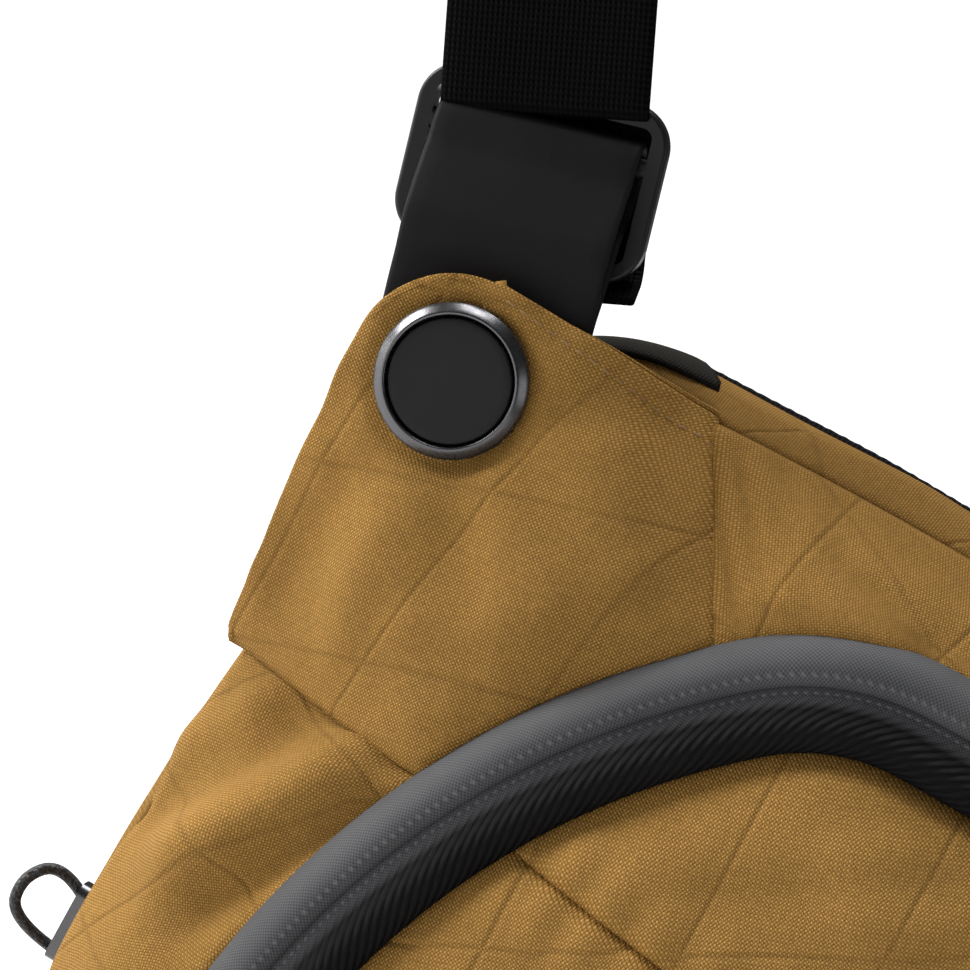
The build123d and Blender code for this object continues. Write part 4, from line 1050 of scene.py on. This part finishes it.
def make_wing():
    rows, cols = 84, 72
    right, left = wing_boundary(rows)
    s = spread(0.0, 1.0, cols, 0.5)[None, :, None]
    flat = right[:, None, :] * (1 - s) + left[:, None, :] * s
    bow = np.sin(math.pi * np.linspace(0, 1, rows + 1))[:, None]
    x, z = flat[..., 0], flat[..., 1]
    hem_lift = 0.8 * bell(np.linspace(0, 1, rows + 1) - 1.0, 0.12)[:, None] * np.sin(math.pi * s[..., 0])
    z = z + hem_lift
    y = thin_plate(WING_KNOTS)(x, z)
    P = np.stack([x, y, z], axis=-1)
    n = grid_normals(P, 1.0)
    n *= np.where(n[..., 1:2] > 0, -1.0, 1.0)
    u, v = arc_lengths(P)
    near_right = u - u[:, :1]
    near_low = v
    near = np.minimum(near_right, near_low)
    offset = -1.5 * bell(near, 1.7) + 1.6 * (1 - bell(near, 12.0)) * bow
    disc = np.hypot(x - DISC_X, z - DISC_Z)
    calm = 1 - bell(disc, 20.0)
    angle = np.arctan2(z - DISC_Z, x - DISC_X)
    rays = 0.7 * np.sin(angle * 9.0 + 0.6) * bell(disc - 24.0, 12.0) * np.clip((disc - 15.0) / 6.0, 0, 1)
    folds = crease(P, (-150, 146), (-138, 104), 5.0, 1.9) + crease(P, (-158, 150), (-153, 100), 5.5, -1.7)
    folds += crease(P, (-138, 152), (-116, 112), 7.0, -1.6) + crease(P, (-128, 170), (-96, 150), 8.0, 1.3)
    folds += crease(P, (-120, 181), (-103, 160), 3.0, -1.0) + crease(P, (-112, 182), (-97, 163), 2.2, 0.9)
    soft = field(P, 0.04, 12.0, 3) * 0.9
    offset = offset + (rays + folds * 0.9 + soft) * calm * (1 - bell(near, 4.0))
    offset = np.where(disc < DISC_R + 1.0, np.minimum(offset, 0.0), offset)
    P = P + n * offset[..., None]
    press = bell(np.maximum(disc - DISC_R, 0.0), 2.6)
    P[..., 1] = P[..., 1] * (1 - press) + (WING_Y + 0.1) * press
    # the hem is turned in along the top edge, and the side edge wraps back to the gusset
    top = P[-1]
    turned = [top + np.array([0.0, 0.35, 0.35]), top + np.array([0.0, 0.9, 0.4]),
              top + np.array([0.0, 1.3, 0.0]), top + np.array([0.0, 1.4, -2.0]),
              top + np.array([0.0, 1.4, -8.0])]
    P = np.concatenate([P, np.stack(turned)], axis=0)
    edge = P[:, -1]
    share = np.clip((edge[:, 2] - 97.0) / 58.0, 0, 1)
    gusset = level_points(REAR, np.array([q_level(REAR, min(h, 176.0), -1.5) for h in edge[:, 2]]),
                          GUSSET_FRONT_Y - 0.5, -1.5)
    inward = np.array([DISC_X, 0.0, DISC_Z]) - edge * np.array([1.0, 0.0, 1.0])
    inward /= np.linalg.norm(inward, axis=1, keepdims=True)
    inward = np.array([1.0, 0.0, 0.0]) * (1 - share[:, None] ** 3) + inward * share[:, None] ** 3
    lip = edge + 2.2 * inward + np.array([0.0, 3.0, 0.0])
    goal = gusset * (1 - share[:, None] ** 2) + lip * share[:, None] ** 2
    wrap = []
    for k in (0.12, 0.3, 0.55, 0.8, 1.0):
        way = edge * (1 - k) + goal * k
        way -= 1.6 * math.sin(math.pi * k) * (1 - share[:, None]) * inward
        wrap.append(way)
    P = np.concatenate([P, np.stack(wrap, axis=1)], axis=1)
    u, v = arc_lengths(P)
    c, k = math.cos(0.55), math.sin(0.55)
    X, Z = P[..., 0] - 0.35 * P[..., 1], P[..., 2]
    cloth = np.stack([X * c - Z * k, X * k + Z * c], axis=-1)
    wing = panel("left_wing_cloth", P, TAN, side=1.0, thick=1.2, cloth=cloth)
    place_both(wing, "wing_cloth", "bag", "tan_fabric", "wing_front")
    # the hem's facing peeks out behind the front edge
    edge = top[1:-16]
    facing = np.stack([edge + np.array([0.0, 1.5, -7.0]), edge + np.array([0.0, 1.45, 0.3]),
                       edge + np.array([0.0, 1.6, 1.1]), edge + np.array([0.0, 1.9, 1.35]),
                       edge + np.array([0.0, 2.2, 1.0]), edge + np.array([0.0, 2.3, -7.0])])
    taper = np.sin(math.pi * np.linspace(0.0, 0.5, facing.shape[1])[::-1]) ** 0.6 * 1.5 - 0.5
    facing[1:5, :, 2] = edge[None, :, 2] + (facing[1:5, :, 2] - edge[None, :, 2]) * taper
    face = panel("left_wing_facing", facing, TAN, side=1.0, thick=0.4)
    place_both(face, "wing_facing", "bag", "tan_fabric")
    row = P[rows - 5, 6:cols - 14]
    normals = grid_normals(P, 1.0)[rows - 5, 6:cols - 14]
    normals *= np.where(normals[:, 1:2] > 0, -1.0, 1.0)
    hem = stitches("left_hem_stitches", row, normals, THREAD_TAN, step=3.0, length=2.1, wide=0.45, lift=0.05)
    place_both(hem, "hem_stitches", "bag", "tan_fabric")


# ---------------------------------------------------------------- straps
def leaning(degrees):
    lean = math.radians(degrees)
    return np.array([math.cos(lean), 0, math.sin(lean)]), np.array([-math.sin(lean), 0, math.cos(lean)])


def rounded(points, radii, step=0.5):
    """A run of points with its corners turned on arcs."""
    p = [np.array(q, float) for q in points]
    out = [p[0]]
    for a, b, c, r in zip(p, p[1:], p[2:], radii):
        u, v = (a - b) / np.linalg.norm(a - b), (c - b) / np.linalg.norm(c - b)
        half = math.acos(np.clip(u @ v, -1, 1)) / 2
        reach = r / math.tan(half)
        mid = (u + v) / np.linalg.norm(u + v)
        centre = b + mid * r / math.sin(half)
        start, end = b + u * reach, b + v * reach
        turn = math.pi - 2 * half
        count = max(2, int(r * turn / step))
        e = start - centre
        side = np.sign(e[0] * (end - centre)[1] - e[1] * (end - centre)[0])
        for k in range(count + 1):
            w = side * turn * k / count
            out.append(centre + np.array([e[0] * math.cos(w) - e[1] * math.sin(w),
                                          e[0] * math.sin(w) + e[1] * math.cos(w)]))
    out.append(p[-1])
    dense = [out[0]]
    for a, b in zip(out, out[1:]):
        n = max(1, int(np.linalg.norm(b - a) / 1.5))
        dense += [a + (b - a) * k / n for k in range(1, n + 1)]
    return np.array(dense)


def strap_section(width, thick, n=14):
    """Flat section with rounded edges: (across, out)."""
    r = thick / 2
    flat = np.linspace(-(width / 2 - r), width / 2 - r, n)
    edge = np.linspace(-math.pi / 2, math.pi / 2, 6)[1:-1]
    top = [(a, r) for a in flat]
    right = [(width / 2 - r + r * math.cos(a), r * math.sin(a)) for a in edge[::-1]]
    low = [(a, -r) for a in flat[::-1]]
    left = [(-(width / 2 - r) - r * math.cos(a), r * math.sin(a)) for a in edge]
    return np.array(top + right + low + left)


def sweep_strap(name, centre, wide, out, width, thick, material):
    """A strap along centre, with its width and face directions given at each point."""
    section = strap_section(width, thick)
    rows = (centre[:, None, :] + wide[:, None, :] * section[None, :, :1]
            + out[:, None, :] * section[None, :, 1:])
    count, cols = rows.shape[:2]
    run = run_length(centre)
    around = run_length(section)
    cloth = np.stack([np.broadcast_to(around[None, :], (count, cols)),
                      np.broadcast_to(run[:, None], (count, cols))], axis=-1)
    faces = grid_faces(count, cols, close_cols=True)
    faces.append(tuple(range(cols)))
    faces.append(tuple((count - 1) * cols + j for j in reversed(range(cols))))
    obj = add_mesh(name, rows.reshape(-1, 3), faces, material, cloth.reshape(-1, 2))
    bpy.context.view_layer.update()
    bm = bmesh.new()
    bm.from_mesh(obj.data)
    bmesh.ops.recalc_face_normals(bm, faces=bm.faces)
    bm.to_mesh(obj.data)
    bm.free()
    return obj


TAB_LEAN, WEB_LEAN, TAB_SHIFT = 20.0, 29.5, 2.3
STRAP_WIDTH, STRAP_THICK, TAB_THICK = 38.0, 1.4, 2.0
BUCKLE_Y, BUCKLE_THICK, FIT = 3.2, 4.5, 0.3
TAB_FRONT_Y = WING_Y + 4.1
TAB_REAR_Y = TAB_FRONT_Y + 2 * TAB_THICK + 0.2
TAIL_Y = TAB_REAR_Y + 0.8 + 1.5 + 1.2 + 0.9
MID_BAR, LOW_BAR, TAIL_H = 44.0, 24.0, 17.0
LOOP_OUT = BUCKLE_THICK / 2 + TAB_THICK + FIT
WEB_SLOT = MID_BAR + LOOP_OUT + 0.5 + STRAP_THICK / 2
WEB_BACK_Y = BUCKLE_Y + LOOP_OUT + 0.2 + STRAP_THICK / 2
SWIVEL_RADIUS = 82.0
DISC = np.array([DISC_X, 0.0, DISC_Z])
OUT = np.array([0.0, -1.0, 0.0])


def frame_along(route, up):
    """Places, and face directions, of a (height, y) route in an upright frame."""
    centre = route[:, :1] * up + route[:, 1:] * np.array([[0.0, 1.0, 0.0]])
    tangent = np.gradient(route, axis=0)
    tangent /= np.linalg.norm(tangent, axis=1, keepdims=True)
    out = tangent[:, 1:] * up - tangent[:, :1] * np.array([[0.0, 1.0, 0.0]])
    return centre, out


def make_tab():
    across, up = leaning(TAB_LEAN)
    loop_r = BUCKLE_THICK / 2 + TAB_THICK / 2 + FIT
    front_y, rear_y = TAB_FRONT_Y + TAB_THICK / 2, TAB_REAR_Y - TAB_THICK / 2
    points = [(-16, rear_y), (15, rear_y), (MID_BAR - 6, BUCKLE_Y + loop_r),
              (MID_BAR + loop_r, BUCKLE_Y + loop_r), (MID_BAR + loop_r, BUCKLE_Y - loop_r),
              (MID_BAR - 4, BUCKLE_Y - loop_r - 1.0), (MID_BAR - 17, front_y + 1.0), (15, front_y),
              (-16, front_y)]
    route = rounded(points, [8, 8, loop_r * 0.95, loop_r * 0.95, 10, 18, 18])
    bulge = np.where((route[:, 0] > 20) & (route[:, 1] < BUCKLE_Y), np.sin(math.pi * np.clip(
        (route[:, 0] - 20) / (MID_BAR - 18), 0, 1)), 0.0)
    route[:, 1] -= 1.8 * bulge
    centre, out = frame_along(route, up)
    wide = np.tile(across, (len(route), 1))
    tab = sweep_strap("left_tab", centre + DISC + across * TAB_SHIFT, wide, out, STRAP_WIDTH, TAB_THICK,
                      TAB_COAT)
    place_both(tab, "tab", "anchor", "black_tab", "strap_tab")


def make_webbing():
    across_tab, up_tab = leaning(TAB_LEAN)
    across, up = leaning(WEB_LEAN)
    slot = DISC + up_tab * WEB_SLOT + across_tab * TAB_SHIFT
    lower = [(TAIL_H - WEB_SLOT, TAIL_Y), (LOW_BAR - 3 - WEB_SLOT, WEB_BACK_Y - 1.0),
             (LOW_BAR + 5 - WEB_SLOT, WEB_BACK_Y),
             (0.0, WEB_BACK_Y), (0.0, 0.0), (SWIVEL_RADIUS - WEB_SLOT + 8.0, 0.0)]
    route = rounded(lower, [6, 12, 1.6, 1.6], 0.3)
    centre, out = frame_along(route, up)
    centre = centre + slot
    wide = np.tile(across, (len(route), 1))
    start, twist = SWIVEL_RADIUS - WEB_SLOT + 8.0, 90.0
    k = np.linspace(0, 1, 46)[1:]
    turn = (math.pi / 2) * k * k * (3 - 2 * k)
    c2 = slot + up * (start + twist * k)[:, None]
    w2 = np.cos(turn)[:, None] * across + np.sin(turn)[:, None] * OUT
    o2 = -np.sin(turn)[:, None] * across + np.cos(turn)[:, None] * OUT
    end = slot + up * (start + twist)
    side_r, lean = 110.0, math.radians(WEB_LEAN)
    side_c = end + across * side_r
    a0, a1 = math.pi + lean, math.pi + lean - math.radians(93.0)
    a = np.linspace(a0, a1, 60)[1:]
    ray = np.stack([np.cos(a), 0 * a, np.sin(a)], axis=1)
    c3 = side_c + ray * side_r
    join_x = side_c[0] + side_r * math.cos(a1)
    top_r = join_x / math.cos(a1)
    top_c = np.array([0.0, 0.0, side_c[2] + side_r * math.sin(a1) - top_r * math.sin(a1)])
    b = np.linspace(a1, math.pi / 2, 60)[1:]
    ray4 = np.stack([np.cos(b), 0 * b, np.sin(b)], axis=1)
    c4 = top_c + ray4 * top_r
    centre = np.vstack([centre, c2, c3, c4])
    wide = np.vstack([wide, w2, np.tile(OUT, (len(a) + len(b), 1))])
    out = np.vstack([-out if out[-1] @ OUT < 0 else out, o2, ray, ray4])
    web = sweep_strap("left_webbing", centre, wide, out, STRAP_WIDTH, STRAP_THICK, WEBBING)
    twin = mirrored(web, "right_webbing")
    for obj, side, sign in ((web, "left", 1.0), (twin, "right", -1.0)):
        near = DISC + up * (SWIVEL_RADIUS - 26.0)
        far = DISC + up * (SWIVEL_RADIUS + 34.0)
        near[0], far[0] = near[0] * sign, far[0] * sign
        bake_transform(obj)
        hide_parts(side + "_strap_end", side + "_strap_webbing")


# ---------------------------------------------------------------- rivet
def lathe(name, profile, material, turns=96):
    """Spins (radius, y) points about the disc's axis."""
    angle = np.linspace(0, 2 * math.pi, turns, endpoint=False)
    rows = [np.stack([DISC_X + r * np.cos(angle), np.full(turns, y), DISC_Z + r * np.sin(angle)], axis=1)
            for r, y in profile]
    faces = grid_faces(len(profile), turns, close_cols=True)
    obj = add_mesh(name, np.concatenate(rows), faces, material)
    return obj


def make_rivet():
    y0 = RING_LOW[1]
    ring = [(4.2, WING_Y - 0.1), (DISC_R - 0.5, WING_Y - 0.05), (DISC_R - 0.1, WING_Y - 0.3),
            (DISC_R, WING_Y - 0.7), (DISC_R, y0 + 1.75), (DISC_R - 0.07, y0 + 1.58),
            (DISC_R - 0.55, y0 + 1.10), (DISC_R - 1.05, y0 + 0.60), (DISC_R - 1.55, y0 + 0.14),
            (DISC_R - 1.70, y0 + 0.04), (DISC_R - 1.9, y0 + 0.0),
            (DISC_R - 2.15, y0 + 0.05), (DISC_R - 2.26, y0 + 0.25), (DISC_R - 2.3, y0 + 0.7),
            (DISC_R - 2.32, y0 + 1.75), (4.2, y0 + 1.8)]
    body = lathe("left_disc_ring", ring, GUNMETAL)
    place_both(body, "disc_ring", "bag", "dark_metal", "rivet_ring")
    r = DISC_R - 2.85
    cap = [(r - 0.1, y0 + 1.7), (r, y0 + 1.5), (r, y0 + 0.75), (r - 0.12, y0 + 0.55), (r - 0.45, y0 + 0.42),
           (r - 1.6, y0 + 0.38), (r * 0.6, y0 + 0.36), (0.05, y0 + 0.36)]
    face = lathe("left_disc_inset", cap, INSET)
    place_both(face, "disc_inset", "bag", "inset_black", "cap_inset")


# ---------------------------------------------------------------- inside
def make_inside():
    t = np.linspace(0, 1, 10)
    q = even_q(REAR, 0, 10, 200)
    front = np.stack([slope(q, np.full_like(q, k), -3.4) for k in t])
    rear = np.stack([level_points(REAR, q, y, -3.4) for y in np.linspace(28.0, GUSSET_FRONT_Y, 6)[:-1]])
    P = np.concatenate([rear, front])
    P = P + grid_normals(P, 1.0) * (field(P, 0.03, 14.0) * 0.4)[..., None]
    walls = panel("lining_walls", P, LINING, side=1.0, thick=0.5)
    place(walls, "bag", "lining_fabric", "lining")

    def flat(share, x, z):
        return 27.6 + 0.4 * np.sin(x / 17.0) * np.sin(z / 13.0) * (share < 0.95)

    B = disc_grid(flat, REAR, -3.6, 30, 160, MIDDLE_Z)
    wall = panel("lining_back", B, LINING, side=-1.0, thick=0.5,
                 cloth=np.stack([B[..., 0], B[..., 2]], axis=-1))
    place(wall, "bag", "lining_fabric")


def pocket_sheet(name, x0, x1, z0, z1, y, bow, material, body, slot_name, nodes, thick=0.8, cols=60, rows=40):
    """An upright sheet that bellies forward and has a rolled hem along its top."""
    x, z = np.meshgrid(np.linspace(x0, x1, cols + 1), np.linspace(z0, z1, rows + 1))
    s, h = (x - x0) / (x1 - x0), (z - z0) / (z1 - z0)
    depth = y - bow * np.sin(math.pi * s) ** 0.6 * np.sin(math.pi * np.clip(h * 0.8 + 0.1, 0, 1)) ** 0.6
    P = np.stack([x, depth, z], axis=-1)
    P[..., 1] += field(P, 0.03, 20.0) * 0.4
    top = P[-1]
    P = np.concatenate([P, np.stack([top + np.array([0, -0.6, 0.5]), top + np.array([0, -1.3, 0.2]),
                                     top + np.array([0, -1.5, -1.0]), top + np.array([0, -1.2, -5.0])])])
    return place(panel(name, P, material, side=-1.0, thick=thick), body, slot_name, *nodes)


def make_inner_pockets():
    low, high = mm_box("divider")
    pocket_sheet("divider_sheet", low[0] + 3, high[0] - 3, low[2] + 1, high[2] - 1, (low[1] + high[1]) / 2,
                 0.6, LINING, "bag", "lining_fabric", ["divider"], thick=1.6)
    low, high = mm_box("organiser_pocket")
    pocket_sheet("organiser_front", low[0], high[0], low[2], high[2], low[1] + 2.2, 2.0, LINING, "bag",
                 "lining_fabric", ["organiser_pocket"])
    pocket_sheet("organiser_rear", low[0], high[0], low[2], high[2], high[1] - 0.6, 0.0, LINING, "bag",
                 "lining_fabric", [])


def make_side_pocket():
    q = even_q(REAR, q_level(REAR, POCKET_LOW_Z), q_level(REAR, POCKET_HIGH_Z, high=4.5), 120)
    for name, y0, y1 in (("side_tape_front", 16.2, 20.6), ("side_tape_rear", 25.8, 21.4)):
        rows = [level_points(REAR, q, y0 + (y1 - y0) * k, -0.7 - 0.5 * k * k) for k in np.linspace(0, 1, 6)]
        tape = panel(name, np.stack(rows), TAPE, side=-1.0 if y1 > y0 else 1.0, thick=0.5)
        place(tape, "bag", "zip_tape_fabric", "side_pocket_tapes")
    make_coil_pocket()
    low, high = mm_box("side_pocket_pouch")
    for name, y in (("side_pouch_front", low[1] + 0.4), ("side_pouch_rear", high[1] - 0.4)):
        pocket_sheet(name, low[0] + 1, high[0] - 0.5, low[2] + 0.5, high[2] - 1.5, y, 0.0, LINING, "bag",
                     "lining_fabric", ["side_pocket_pouch"], thick=0.6, cols=24, rows=30)


def make_coil_pocket():
    qa, qb = q_level(REAR, POCKET_LOW_Z + 1.0), q_level(REAR, POCKET_HIGH_Z - 1.0, high=4.5)
    q = np.linspace(qa, qb, 2000)
    line = level_points(REAR, q, 21.0, -1.9)
    run = run_length(line)
    pitch = 1.3
    points, faces = [], []
    for k in range(int(run[-1] / pitch)):
        c = np.array([np.interp((k + 0.5) * pitch, run, line[:, i]) for i in range(3)])
        ahead = np.array([np.interp((k + 0.6) * pitch, run, line[:, i]) for i in range(3)])
        t = (ahead - c) / np.linalg.norm(ahead - c)
        o = np.cross(t, [0, 1, 0])
        shift = 0.55 * (1 if k % 2 else -1)
        first = len(points)
        for e, fat in ((-1.9, 0.5), (-1.4, 1.0), (1.4, 1.0), (1.9, 0.5)):
            points += [c + np.array([0, e + shift, 0]) + t * cx * 0.5 * fat + o * cy * 0.6 * fat
                       for cx, cy in HEXAGON]
        faces += bar_faces(first, 4)
    place(add_mesh("side_coil_teeth", points, faces, ZIP_PLASTIC), "bag", "zip_plastic", "side_pocket_coil")


def make_base_panel():
    """The padded front wall under the flap's fold."""
    q = even_q(ARCH, q_level(ARCH, HINGE_Z - 0.4, TAPE_WIDE), 0.0, 60, TAPE_WIDE)
    qq = np.concatenate([q, -q[::-1][1:]])
    x, z = outline(ARCH, np.abs(qq), TAPE_WIDE)
    x = np.where(qq < 0, -x, x)
    s = np.linspace(0, 1, len(qq))
    near_x = x[0] + (x[-1] - x[0]) * s
    b = spread(0, 1, 26, 0.4)[:, None]
    X = near_x * (1 - b) + x * b
    Z = (HINGE_Z - 0.4) * (1 - b) + z * b
    edge = np.minimum(np.minimum(HINGE_Z - 0.4 - Z, Z), 118.5 + 9.0 - abs(X) + 6.0)
    full = 1 - np.exp(-np.maximum(edge, 0) / 5.0)
    Y = SLOPE_FRONT_Y - 0.2 - 4.6 * full
    P = np.stack([X, Y, np.maximum(Z, 0.1)], axis=-1)
    cloth = np.stack([X, Z], axis=-1)
    wall = panel("front_base_cloth", P, TAN, side=-1.0, thick=1.4, cloth=cloth)
    place(wall, "bag", "tan_fabric", "front_base_panel")
    ends = np.linspace(-118, 118, 140)
    line = np.stack([ends, np.full_like(ends, SLOPE_FRONT_Y - 3.4), np.full_like(ends, HINGE_Z - 3.2)],
                    axis=1)
    run = stitches("fold_stitches", line, np.tile([0.0, -1.0, 0.0], (140, 1)), THREAD_TAN, lift=0.6)
    place(run, "bag", "tan_fabric")


make_gusset()
make_shell()
make_pocket_painted_shade()
make_binding()
make_back()
make_zip()
for part, near, far, body in (("outer", 0.3, 3.0, "bag"), ("inner", -0.4, -3.0, "flap")):
    make_coil(f"main_coil_{part}_teeth", near, far, body, "main_zip_coil_" + part)
make_flap()
make_wing()
make_tab()
make_webbing()
make_rivet()
make_inside()
make_inner_pockets()
make_side_pocket()
make_base_panel()


# ---------------------------------------------------------------- CAD nodes that stay
KEPT = {
    "back_stiffener": BOARD, "zip_end_stops": SATIN_BLACK, "side_pocket_slider": GUNMETAL,
    "left_rivet_post": GUNMETAL, "right_rivet_post": GUNMETAL, "left_rivet_washer": SATIN_BLACK,
    "right_rivet_washer": SATIN_BLACK, "left_strap_buckle": SATIN_BLACK, "right_strap_buckle": SATIN_BLACK,
    "left_zip_slider": GUNMETAL, "right_zip_slider": GUNMETAL, "left_zip_pull": SATIN_BLACK,
    "right_zip_pull": SATIN_BLACK, "left_wing_back": LINING_AND_PAINTED_SHADE, "right_wing_back": LINING_AND_PAINTED_SHADE,
}
for node, material in KEPT.items():
    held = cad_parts[node]
    held.data.materials.clear()
    held.data.materials.append(material)
    for face in held.data.polygons:
        face.material_index = 0
